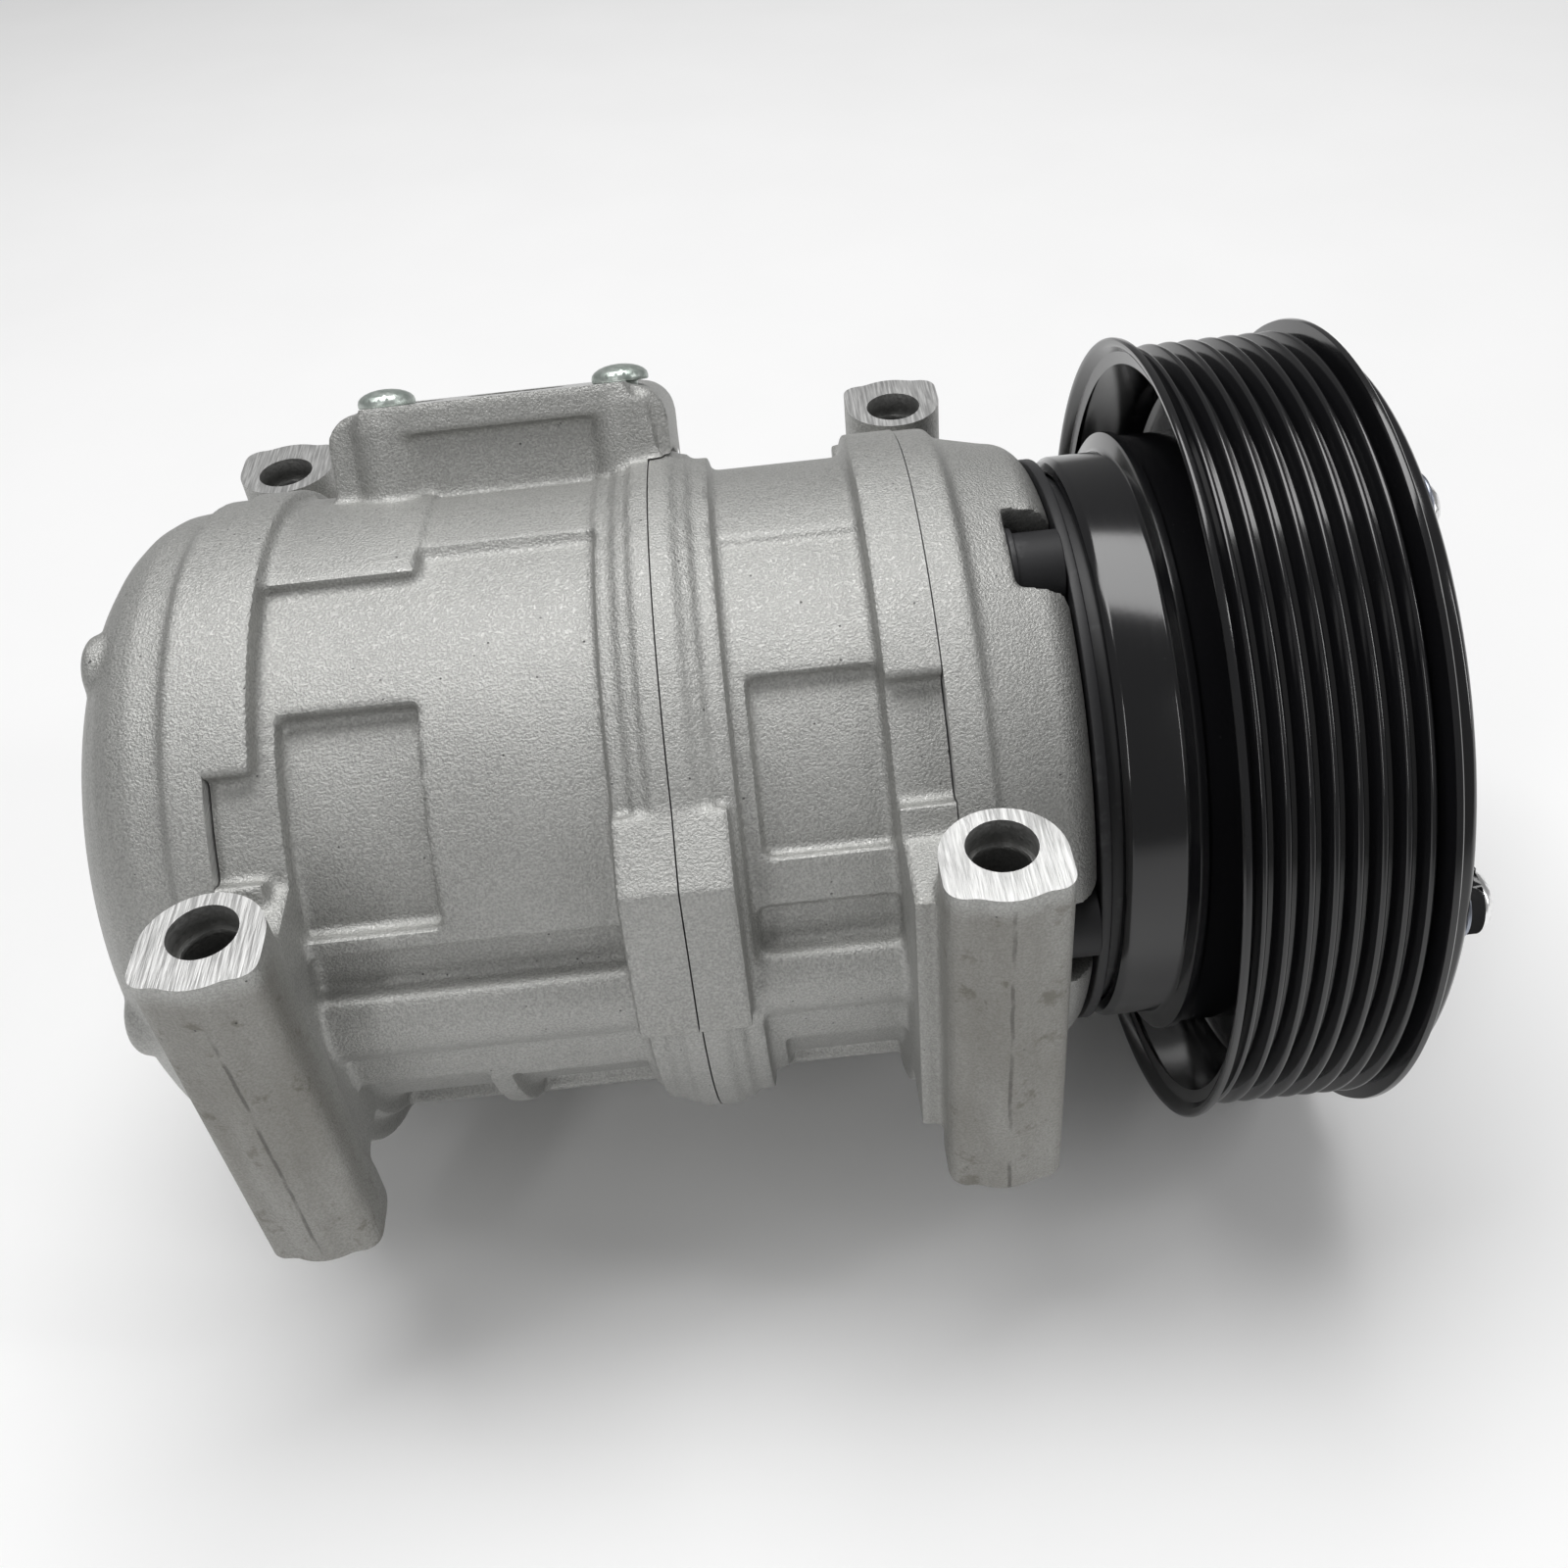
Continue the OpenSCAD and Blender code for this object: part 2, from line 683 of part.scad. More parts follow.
module piston(k) {
    x = swash_x + piston_offset(k);
    a = first_bore_angle + k * sector;
    chamfer = 0.8;
    ring_x = piston_half - 4;
    ring_half = 0.8;
    color(piston_colour) on_shaft() translate([x, 0, 0]) difference() {
        at_polar(a, bore_circle_r) difference() {
            turned([[0, -piston_half], [piston_r - chamfer, -piston_half], [piston_r, -piston_half + chamfer],
                [piston_r, piston_half - chamfer], [piston_r - chamfer, piston_half], [0, piston_half]]);
            // Ring groove near each end
            for (s = [-1, 1]) tube(piston_r + 1, piston_r - 1, s * ring_x - ring_half, s * ring_x + ring_half);
        }
        bar(notch_r, -notch_half, notch_half);
        at_polar(a, bore_circle_r - 1) at_both_ends() turned(ball_outline(shoe_r, shoe_centre, -90, 90));
    }
}

module at_both_ends() {
    children();
    mirror([1, 0, 0]) children();
}

// Two half-ball shoes, cut flat at the running face and at the crown
module shoes(k) {
    x = swash_x + piston_offset(k);
    a = first_bore_angle + k * sector;
    r = shoe_r - 0.05;
    outline = ball_outline(r, shoe_centre, -asin((shoe_centre - shoe_face) / r), asin((shoe_crown - shoe_centre) / r));
    color(steel_colour) on_shaft() translate([x, 0, 0]) at_polar(a, bore_circle_r - 1)
        at_both_ends() turned(concat([[0, shoe_face]], outline, [[0, shoe_crown]]));
}

// ---- shaft seal ----

module shaft_seal() {
    color(rubber_colour) on_shaft() turned([[8.55, 34], [13.95, 33], [13.95, 42], [12.4, 42], [12.4, 35.5], [8.55, 36.5]]);
}

module seal_snap_ring() {
    color(steel_colour) on_shaft() difference() {
        tube(seal_bore_r + 1.1, seal_bore_r - 2.4, 44.2, 45.4);
        translate([40, -2.5, 8]) cube([9, 5, 10]);
    }
}

// ---- field coil ----

module coil_bracket() {
    color(black_colour) on_shaft() difference() {
        bar(rotor_r, front_face_x + 0.2, coil_x);
        bar(nose_r + 2.6, 0, 60);
    }
}

module coil_shell() {
    inner = 37.4;
    outer = 48.6;
    end_x = 52;
    wall = 2.6;
    color(black_colour) on_shaft() difference() {
        tube(outer, inner, coil_x, end_x);
        tube(outer - wall, inner + wall, coil_x + wall, end_x + eps);
    }
}

module coil_winding() {
    color(copper_colour) on_shaft() tube(45.9, 40.1, coil_x + 2.7, 51);
}

module coil_snap_ring() {
    color(steel_colour) on_shaft() difference() {
        tube(nose_r + 5.4, nose_r + 1.3, coil_x + 0.1, coil_x + 1.2);
        translate([0, -2.5, 10]) cube([60, 5, 20]);
    }
}

// Terminal block of the coil, on the far side, with a tongue behind the plate's rim
module coil_terminal() {
    tongue = 5;
    block_r = 56.4;
    color(black_colour) on_shaft() rotate([-20, 0, 0]) {
        translate([front_face_x + 0.3, rotor_r + 0.1, -tongue]) cube([1.8, block_r - rotor_r, 2 * tongue]);
        translate([front_face_x - 7, block_r, -6]) cube([9.1, 9, 12]);
    }
}

// ---- pulley and rotor ----

groove_margin = (pulley_width - (groove_count - 1) * groove_pitch) / 2;
groove_depth = 2.9;

// Belt side of the pulley: ribs between two rims
function rib_profile() = [for (i = [0 : groove_count - 1]) let (x = pulley_x + groove_margin + i * groove_pitch)
    each [[rib_r - groove_depth, x - groove_pitch / 2 + 0.35], [rib_r, x - 0.35],
        [rib_r, x + 0.35], [rib_r - groove_depth, x + groove_pitch / 2 - 0.35]]];

module pulley() {
    rim = 1.5;
    root = rib_r - groove_depth;
    wall_r = 63.6;
    web_x = pulley_x + 17;
    color(black_colour) on_shaft() turned(concat(
        [[rim_r - 1.2, pulley_x + 0.1], [rim_r - 0.3, pulley_x], [rim_r, pulley_x + 0.4], [rim_r, pulley_x + rim - 0.3]],
        rib_profile(),
        [[rim_r, rotor_face_x - rim + 0.3], [rim_r, rotor_face_x - 0.4], [rim_r - 0.4, rotor_face_x]],
        [[54.5, rotor_face_x], [54.5, web_x], [wall_r, web_x - 2]],
        [[wall_r, pulley_x + 9], [rim_r - 3.4, pulley_x + 3]]));
}

// Rotor with its friction face; an inner sleeve holds the bearing
module rotor() {
    step_x = pulley_x - 2.6;
    wall = 2.9;
    color(black_colour) on_shaft() difference() {
        turned([[rotor_r - 1.3, rotor_rear_x], [rotor_r, rotor_rear_x + 1.1], [rotor_r, step_x],
            [55.4, step_x + 0.5], [55.4, pulley_x - 0.4], [54.4, pulley_x], [54.4, rotor_face_x],
            [race_r, rotor_face_x], [race_r, bearing_x - 1], [race_r + 4, bearing_x - 1],
            [race_r + 5.6, bearing_x], [race_r + 5.6, 55], [rotor_r - wall, 55], [rotor_r - wall, rotor_rear_x]]);
        // Curved slots that break the magnetic path
        for (k = [0 : 5]) rotate([k * 60, 0, 0]) tube_slice(46.5, 43.5, -22, 22, 54, rotor_face_x + eps);
        tube(race_r + 1.6, race_r - eps, bearing_x + bearing_width + 0.1, bearing_x + bearing_width + 1.8);
    }
}

// ---- pulley bearing ----

module bearing_outer_race() {
    color(steel_colour) on_shaft() difference() {
        tube(race_r, 28, bearing_x, bearing_x + bearing_width);
        turned_ring(bearing_mid_x, ball_circle_r, ball_r + 0.03);
    }
}

module bearing_inner_race() {
    color(steel_colour) on_shaft() difference() {
        tube(23, nose_r, bearing_x, bearing_x + bearing_width);
        turned_ring(bearing_mid_x, ball_circle_r, ball_r + 0.03);
    }
}

module bearing_balls() {
    color(steel_colour) on_shaft() for (k = [0 : ball_count - 1]) at_polar(k * 360 / ball_count, ball_circle_r)
        translate([bearing_mid_x, 0, 0]) sphere(r = ball_r, $fn = small_fn);
}

module ball_cage() {
    color(steel_colour) on_shaft() difference() {
        tube(26.6, 24.4, bearing_mid_x - 5.6, bearing_mid_x + 5.6);
        for (k = [0 : ball_count - 1]) rotate([k * 360 / ball_count, 0, 0])
            translate([bearing_mid_x, 20, 0]) rotate([-90, 0, 0]) cylinder(r = ball_r + 0.15, h = 10, $fn = small_fn);
    }
}

module bearing_seals() {
    color(rubber_colour) on_shaft() {
        tube(28, 23.4, bearing_x + 1, bearing_x + 2.2);
        tube(28, 23.4, bearing_x + bearing_width - 2.2, bearing_x + bearing_width - 1);
    }
}

module bearing_snap_ring() {
    x = bearing_x + bearing_width + 0.1;
    color(steel_colour) on_shaft() difference() {
        tube(nose_r + 2.6, nose_r - 0.8, x, x + 1.5);
        translate([x - 1, -2.5, 10]) cube([5, 5, 20]);
    }
}

module rotor_snap_ring() {
    x = bearing_x + bearing_width + 0.2;
    color(steel_colour) on_shaft() difference() {
        tube(race_r + 1.4, race_r - 2.8, x, x + 1.5);
        translate([x - 1, -2.5, 20]) cube([5, 5, 20]);
    }
}

// ---- clutch plate and hub ----

module armature() {
    color(black_colour) on_shaft() difference() {
        turned([[36, armature_x], [armature_r - 0.6, armature_x], [armature_r, armature_x + 0.6],
            [armature_r, armature_x + armature_thick - 0.8], [armature_r - 0.8, armature_x + armature_thick],
            [36, armature_x + armature_thick]]);
        for (k = [0 : 5]) rotate([k * 60 + 30, 0, 0])
            tube_slice(50.4, 47.4, -22, 22, armature_x - eps, armature_x + armature_thick + eps);
        rivet_set(armature_rivet_angle) bar(2.6, armature_x - eps, 90, small_fn);
        // Clearance for the tails of the hub rivets
        rivet_set(hub_rivet_angle) bar(4.4, armature_x - eps, 90, small_fn);
    }
}

// Quarter-ellipse outline of a domed end, from its rim at x to its tip
function domed_end(r, x, height) = [for (i = [0 : 6]) [r * cos(15 * i), x + height * sin(15 * i)]];

module rivet_set(first) {
    for (k = [0 : arm_count - 1]) at_polar(first + k * 120, rivet_circle_r) children();
}

// Rivet with a domed head standing on the plane x
module rivet(x, tail, head_r = 4.2) {
    head_height = 2.6;
    turned(concat([[0, x - tail], [2.5, x - tail], [2.5, x]], domed_end(head_r, x, head_height)));
}

module armature_rivets() {
    color(rivet_colour) on_shaft()
        rivet_set(armature_rivet_angle) rivet(hub_plate_x, armature_thick + spring_thick);
}

module hub_rivets() {
    color(rivet_colour) on_shaft() rivet_set(hub_rivet_angle) {
        rivet(hub_plate_x + hub_plate_thick, hub_plate_thick + spring_thick + 1.6, 5);
        bar(3.8, armature_x + armature_thick - 1.6, armature_x + armature_thick - 0.1, small_fn);
    }
}

// Three straps that pull the armature back from the rotor
module leaf_springs() {
    width = 11;
    x = hub_plate_x - spring_thick;
    span = rivet_circle_r;
    color(steel_colour) on_shaft() for (k = [0 : arm_count - 1]) rotate([hub_rivet_angle + 30 + k * 120, 0, 0])
        difference() {
            union() {
                translate([x, span * cos(30) - width / 2, -span / 2]) cube([spring_thick, width, span]);
                for (s = [-1, 1]) translate([x, span * cos(30), s * span / 2]) rotate([0, 90, 0])
                    cylinder(r = width / 2, h = spring_thick, $fn = small_fn);
            }
            for (s = [-1, 1]) translate([x - eps, span * cos(30), s * span / 2]) rotate([0, 90, 0])
                cylinder(r = 2.6, h = 4, $fn = small_fn);
        }
}

// Three-armed hub plate with a splined boss
module clutch_hub() {
    arm = 12;
    tip_r = 5.2;
    color(black_colour) on_shaft() difference() {
        union() {
            bar(30, hub_plate_x, hub_plate_x + hub_plate_thick);
            for (k = [0 : arm_count - 1]) rotate([hub_rivet_angle + k * 120, 0, 0]) {
                translate([hub_plate_x, 0, -arm / 2]) cube([hub_plate_thick, rivet_circle_r, arm]);
                translate([hub_plate_x, rivet_circle_r, 0]) rotate([0, 90, 0])
                    cylinder(r = tip_r, h = hub_plate_thick, $fn = small_fn);
            }
            bar(13, 53.3, hub_plate_x + 3.4);
            bar(17, hub_plate_x - 2, hub_plate_x + 1);
        }
        bar(8.02, 50, 71.2);
        bar(3.4, 60, 90, small_fn);
        bar(9, 71.1, 90, small_fn);
        rivet_set(hub_rivet_angle) bar(2.6, 60, 90, small_fn);
    }
}

module hub_bolt() {
    color(steel_colour) on_shaft() {
        bar(2.9, 60, 71.4, small_fn);
        translate([72.2, 0, 0]) rotate([0, 90, 0]) cylinder(r = 5.8, h = 4.4, $fn = 6);
        bar(7.2, 71.2, 72.3, small_fn);
    }
}

module hub_shims() {
    color(steel_colour) on_shaft() {
        tube(11.4, 8.05, 52.1, 52.6);
        tube(11.4, 8.05, 52.7, 53.2);
    }
}

rear_head();
rear_cylinder();
front_cylinder();
front_head();
gasket(rear_joint_x, -1);  // rear_gasket
gasket(front_joint_x, 1);  // front_gasket
valve_plate(rear_joint_x, -1);  // rear_valve_plate
valve_plate(front_joint_x, 1);  // front_valve_plate
reeds(rear_joint_x, -1);  // rear_reeds
reeds(front_joint_x, 1);  // front_reeds
housing_o_rings();
through_bolts();
port_bolts();
bearing_cup(rear_cup_x);  // rear_bearing_cup
bearing_cup(front_cup_x);  // front_bearing_cup
needles(rear_cup_x);  // rear_needles
needles(front_cup_x);  // front_needles
thrust_washers(swash_x - chamber_half + 0.1);  // rear_thrust_washers
thrust_washers(swash_x + hub_half + 0.2);  // front_thrust_washers
thrust_rollers(swash_x - chamber_half + 0.1);  // rear_thrust_rollers
thrust_rollers(swash_x + hub_half + 0.2);  // front_thrust_rollers
shaft();
swash_plate();
shaft_seal();
seal_snap_ring();
piston(0);  // piston_1
piston(1);  // piston_2
piston(2);  // piston_3
piston(3);  // piston_4
piston(4);  // piston_5
shoes(0);  // shoes_1
shoes(1);  // shoes_2
shoes(2);  // shoes_3
shoes(3);  // shoes_4
shoes(4);  // shoes_5
coil_bracket();
coil_shell();
coil_winding();
coil_snap_ring();
coil_terminal();
pulley();
rotor();
bearing_outer_race();
bearing_inner_race();
bearing_balls();
ball_cage();
bearing_seals();
bearing_snap_ring();
rotor_snap_ring();
armature();
armature_rivets();
leaf_springs();
clutch_hub();
hub_rivets();
hub_bolt();
hub_shims();
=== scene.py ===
# Refrigerant compressor with a belt-driven clutch: its castings, pulley, clutch and inner parts.
import json
import math
from collections import namedtuple

import bpy
from bpy.props import FloatProperty, FloatVectorProperty, IntProperty, PointerProperty
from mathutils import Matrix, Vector


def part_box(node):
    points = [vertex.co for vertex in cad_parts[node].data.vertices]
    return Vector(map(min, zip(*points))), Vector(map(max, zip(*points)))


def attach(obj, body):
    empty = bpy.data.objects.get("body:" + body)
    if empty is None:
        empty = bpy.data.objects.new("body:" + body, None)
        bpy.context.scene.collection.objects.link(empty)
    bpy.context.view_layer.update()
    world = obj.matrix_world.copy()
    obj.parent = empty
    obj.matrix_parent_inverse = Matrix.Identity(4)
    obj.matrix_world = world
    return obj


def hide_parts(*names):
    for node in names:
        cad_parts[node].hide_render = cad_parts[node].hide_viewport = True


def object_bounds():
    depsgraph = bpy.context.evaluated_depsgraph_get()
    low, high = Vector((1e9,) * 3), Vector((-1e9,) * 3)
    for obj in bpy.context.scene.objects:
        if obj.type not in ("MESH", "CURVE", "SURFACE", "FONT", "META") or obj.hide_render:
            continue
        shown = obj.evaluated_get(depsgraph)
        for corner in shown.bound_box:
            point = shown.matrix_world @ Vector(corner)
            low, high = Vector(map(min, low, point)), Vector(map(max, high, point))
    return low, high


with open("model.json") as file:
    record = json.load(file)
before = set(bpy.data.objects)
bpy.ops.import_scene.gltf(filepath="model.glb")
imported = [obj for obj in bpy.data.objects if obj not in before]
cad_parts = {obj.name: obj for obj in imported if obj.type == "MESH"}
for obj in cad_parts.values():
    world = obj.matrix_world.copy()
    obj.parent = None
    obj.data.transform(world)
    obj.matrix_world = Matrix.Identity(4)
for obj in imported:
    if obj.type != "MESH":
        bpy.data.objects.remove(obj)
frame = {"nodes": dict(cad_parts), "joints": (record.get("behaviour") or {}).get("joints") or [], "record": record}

bl_info = {
    "name": "Clutch Compressor",
    "version": (1, 0, 0),
    "blender": (4, 5, 0),
    "location": "3D View > Sidebar > Compressor",
    "description": "Models and finishes a swash-plate compressor around its packed frame",
    "category": "Object",
}

MM = 0.001
CAD_BOX = [list(corner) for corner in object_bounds()]
NODES = frame["nodes"]
MOUNTS = {mount["name"]: mount for mount in frame["record"]["mounts"]}
JOINTS = {joint["name"]: joint for joint in frame["joints"]}

# Places that the frame gives
SHAFT_Z = JOINTS["shaft_spin"]["pos_m"][2]
REAR_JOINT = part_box("rear_reeds")[1].x
FRONT_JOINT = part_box("front_reeds")[0].x
MID_JOINT = sum(corner.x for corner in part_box("housing_o_rings")) / 2
PULLEY_BACK, PULLEY_FRONT = (corner.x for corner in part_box("pulley"))
PULLEY_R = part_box("pulley")[1].z - SHAFT_Z
ROTOR_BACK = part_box("rotor")[0].x
SHAFT = Vector((0, 0, SHAFT_Z))
PORT_AXIS = Vector(MOUNTS["suction_port"]["axis"])
PORT_TURN = -math.atan2(PORT_AXIS.y, PORT_AXIS.z)
PORT_HEIGHT = max((vertex.co - SHAFT).dot(PORT_AXIS) for vertex in NODES["rear_cylinder"].data.vertices)
EAR_Y = MOUNTS["front_ear_bolts"]["dims"]["spacing_y_mm"] / 2 * MM
WIDE_HOLE_R = MOUNTS["front_ear_bolts"]["dims"]["hole_r_mm"] * MM
HOLE_R = MOUNTS["near_rear_ear_hole"]["dims"]["r_mm"] * MM
NEAR_EAR_X = MOUNTS["near_rear_ear_hole"]["pos_m"][0]
FAR_EAR_X = MOUNTS["far_rear_ear_hole"]["pos_m"][0]
EAR_BOTTOM = -69.4 * MM
# A vertex this near to a plane counts as lying on it
TOUCH = 0.05 * MM
# Points this near to each other are one
MERGE = 0.001 * MM


# ---- sizes and colours that a user may change ----

class CastingSettings(bpy.types.PropertyGroup):
    grain: FloatProperty(name="Mesh Grain", description="Size of the casting's mesh cells", default=0.72 * MM,
                         min=0.3 * MM, unit="LENGTH", precision=5)
    stock: FloatProperty(name="Machining Stock", description="Metal on machined faces before they are cut",
                         default=3.0 * MM, unit="LENGTH", precision=5)
    rounding: IntProperty(name="Edge Rounding", description="Smoothing passes that round the cast edges",
                          default=5, min=1, max=30)
    hole_step: FloatProperty(name="Hole Step Depth", description="Depth of the step in the ear holes",
                             default=4.4 * MM, unit="LENGTH", precision=5)
    cast_colour: FloatVectorProperty(name="Cast Aluminium", description="Colour of the blasted casting",
                                     default=(0.46, 0.46, 0.445), subtype="COLOR", min=0, max=1)
    cut_colour: FloatVectorProperty(name="Machined Aluminium", description="Colour of the machined faces",
                                    default=(0.66, 0.66, 0.65), subtype="COLOR", min=0, max=1)


class ClutchSettings(bpy.types.PropertyGroup):
    grooves: IntProperty(name="Belt Ribs", description="Number of ribs between the two rims",
                         default=8, min=3)
    pitch: FloatProperty(name="Rib Pitch", description="Distance from rib to rib", default=3.56 * MM,
                         unit="LENGTH", precision=5)
    depth: FloatProperty(name="Groove Depth", description="Height of a rib over the groove floor",
                         default=2.9 * MM, unit="LENGTH", precision=5)
    edge: FloatProperty(name="Edge Bevel", description="Width of the bevel on stamped and turned edges",
                        default=0.28 * MM, unit="LENGTH", precision=5)
    black: FloatVectorProperty(name="Black Enamel", description="Colour of pulley, rotor and clutch plate",
                               default=(0.006, 0.006, 0.007), subtype="COLOR", min=0, max=1)


class StageSettings(bpy.types.PropertyGroup):
    floor_colour: FloatVectorProperty(name="Floor", description="Colour of the floor",
                                      default=(0.93, 0.93, 0.93), subtype="COLOR", min=0, max=1)
    key_power: FloatProperty(name="Key Light", description="Power of the overhead soft box",
                             default=18.0, unit="POWER")
    sky: FloatProperty(name="Sky Strength", description="Strength of the plain white surroundings",
                       default=0.22)
    lens: FloatProperty(name="Lens", description="Focal length of the camera in millimetres", default=36.4)


# ---- modelling helpers ----

def pick(*pieces):
    """Selects only these pieces in object mode and makes the first one active."""
    if bpy.context.object and bpy.context.object.mode != "OBJECT":
        bpy.ops.object.mode_set(mode="OBJECT")
    bpy.ops.object.select_all(action="DESELECT")
    for piece in pieces:
        piece.select_set(True)
    bpy.context.view_layer.objects.active = pieces[0]


def edit_vertices(piece, is_wanted):
    """Enters edit mode with just the wanted vertices selected."""
    pick(piece)
    bpy.ops.object.mode_set(mode="EDIT")
    bpy.ops.mesh.select_mode(type="VERT")
    bpy.ops.mesh.select_all(action="DESELECT")
    bpy.ops.object.mode_set(mode="OBJECT")
    for vertex in piece.data.vertices:
        vertex.select = is_wanted(vertex.co)
    bpy.ops.object.mode_set(mode="EDIT")


def paint_faces(piece, slot, is_wanted):
    """Gives the wanted faces the material of that slot; the test reads a face's centre and normal."""
    pick(piece)
    bpy.ops.object.mode_set(mode="EDIT")
    bpy.ops.mesh.select_mode(type="FACE")
    bpy.ops.mesh.select_all(action="DESELECT")
    bpy.ops.object.mode_set(mode="OBJECT")
    for face in piece.data.polygons:
        face.select = is_wanted(face.center, face.normal)
    bpy.ops.object.mode_set(mode="EDIT")
    piece.active_material_index = slot
    bpy.ops.object.material_slot_assign()
    bpy.ops.object.mode_set(mode="OBJECT")


def modify(piece, kind, **settings):
    """Adds a modifier, sets it and applies it."""
    pick(piece)
    modifier = piece.modifiers.new(kind.title(), kind)
    for name, value in settings.items():
        setattr(modifier, name, value)
    bpy.ops.object.modifier_apply(modifier=modifier.name)


def cut(piece, cutters):
    """Takes the cutters, joined into one tool, out of a closed piece."""
    pick(*cutters)
    if len(cutters) > 1:
        bpy.ops.object.join()
    tool = bpy.context.object
    modify(piece, "BOOLEAN", operation="DIFFERENCE", solver="MANIFOLD", object=tool)
    bpy.data.objects.remove(tool)


def settle(piece):
    """Puts a finished piece's place, turn and size into its mesh."""
    pick(piece)
    bpy.ops.object.transform_apply(location=True, rotation=True, scale=True)


def block(low, high, turn=0.0, centre=None):
    """Box between two corners, turned about the shaft direction."""
    low, high = Vector(low), Vector(high)
    bpy.ops.mesh.primitive_cube_add(size=1, location=centre or (low + high) / 2, rotation=(turn, 0, 0))
    box = bpy.context.object
    box.scale = high - low
    settle(box)
    return box


def drill(x, y, radius, bottom, top):
    """Upright cylinder, for an ear hole."""
    bpy.ops.mesh.primitive_cylinder_add(vertices=72, radius=radius, depth=top - bottom,
                                        location=(x, y, (bottom + top) / 2))
    bit = bpy.context.object
    settle(bit)
    return bit


def disc(start, end, radius):
    """Cylinder about the shaft."""
    bpy.ops.mesh.primitive_cylinder_add(vertices=224, radius=radius, depth=end - start,
                                        location=((start + end) / 2, 0, SHAFT_Z),
                                        rotation=(0, math.pi / 2, 0))
    piece = bpy.context.object
    settle(piece)
    return piece


def lathe(name, outline, steps=224, start=0.0, sweep=2 * math.pi):
    """Turns a closed outline of (radius, x) points about the shaft."""
    first_r, first_x = outline[0]
    bpy.ops.mesh.primitive_plane_add(size=MM, location=(first_x, 0, SHAFT_Z + first_r))
    piece = bpy.context.object
    piece.name = name
    pick(piece)
    bpy.ops.object.mode_set(mode="EDIT")
    bpy.ops.mesh.select_mode(type="VERT")
    bpy.ops.mesh.select_all(action="SELECT")
    bpy.ops.mesh.merge(type="CENTER")
    for (r0, x0), (r1, x1) in zip(outline, outline[1:] + outline[:1]):
        bpy.ops.mesh.extrude_vertices_move(TRANSFORM_OT_translate={"value": (x1 - x0, 0, r1 - r0)})
    bpy.ops.mesh.select_all(action="SELECT")
    bpy.ops.mesh.remove_doubles(threshold=MERGE)
    if sweep < 2 * math.pi:
        bpy.ops.mesh.edge_face_add()
        bpy.ops.transform.rotate(value=start, orient_axis="X", center_override=(first_x, 0, SHAFT_Z))
    bpy.ops.mesh.spin(steps=steps, angle=sweep, center=(first_x, 0, SHAFT_Z), axis=(1, 0, 0))
    bpy.ops.mesh.select_all(action="SELECT")
    bpy.ops.mesh.remove_doubles(threshold=MERGE)
    bpy.ops.mesh.normals_make_consistent(inside=False)
    bpy.ops.object.mode_set(mode="OBJECT")
    settle(piece)
    return piece


def copy_of(node, name):
    """A copy of a CAD node's mesh with its loose triangles merged."""
    piece = bpy.data.objects.new(name, NODES[node].data.copy())
    bpy.context.scene.collection.objects.link(piece)
    piece.data.materials.clear()
    pick(piece)
    bpy.ops.object.mode_set(mode="EDIT")
    bpy.ops.mesh.select_all(action="SELECT")
    bpy.ops.mesh.remove_doubles(threshold=MERGE)
    bpy.ops.object.mode_set(mode="OBJECT")
    return piece


def smooth(piece, degrees=34):
    """Shades a piece smooth, apart from edges sharper than the angle."""
    pick(piece)
    bpy.ops.object.shade_smooth_by_angle(angle=math.radians(degrees))


def hand_over(piece, body, node, slot, *materials):
    """Gives a finished piece its materials and its body, and hides the CAD node it stands for; the slot argument
    is not used.
    """
    piece.data.materials.clear()
    for material in materials:
        piece.data.materials.append(material)
    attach(piece, body)
    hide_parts(node)


def broken_edges(node, width, steps=2):
    """Copy of a CAD node whose sharp edges are bevelled."""
    piece = copy_of(node, node + "_finished")
    pick(piece)
    bpy.ops.object.mode_set(mode="EDIT")
    bpy.ops.mesh.select_all(action="SELECT")
    bpy.ops.mesh.dissolve_limited(angle_limit=math.radians(0.6))
    bpy.ops.object.mode_set(mode="OBJECT")
    modify(piece, "BEVEL", width=width, segments=steps, limit_method="ANGLE",
           angle_limit=math.radians(38), use_clamp_overlap=True)
    smooth(piece)
    return piece


# ---- materials ----

class Field:
    """A shader value that adds, multiplies and compares like a number."""

    def __init__(self, finish, socket):
        self.finish = finish
        self.socket = socket

    def math(self, operation, *others):
        values = {0: self, **dict(enumerate(others, 1))}
        node = self.finish.node("ShaderNodeMath", {"operation": operation}, values)
        return Field(self.finish, node.outputs[0])

    def __add__(self, other):
        return self.math("ADD", other)

    def __sub__(self, other):
        return self.math("SUBTRACT", other)

    def __rsub__(self, other):
        node = self.finish.node("ShaderNodeMath", {"operation": "SUBTRACT"}, {0: other, 1: self})
        return Field(self.finish, node.outputs[0])

    def __mul__(self, other):
        return self.math("MULTIPLY", other)

    __radd__ = __add__
    __rmul__ = __mul__

    def absolute(self):
        return self.math("ABSOLUTE")

    def sine(self):
        return self.math("SINE")

    def rise(self, low, high):
        """Smooth step from 0 at low to 1 at high."""
        node = self.finish.node("ShaderNodeMapRange", {"interpolation_type": "SMOOTHSTEP"},
                                {"Value": self, "From Min": low, "From Max": high})
        return Field(self.finish, node.outputs["Result"])


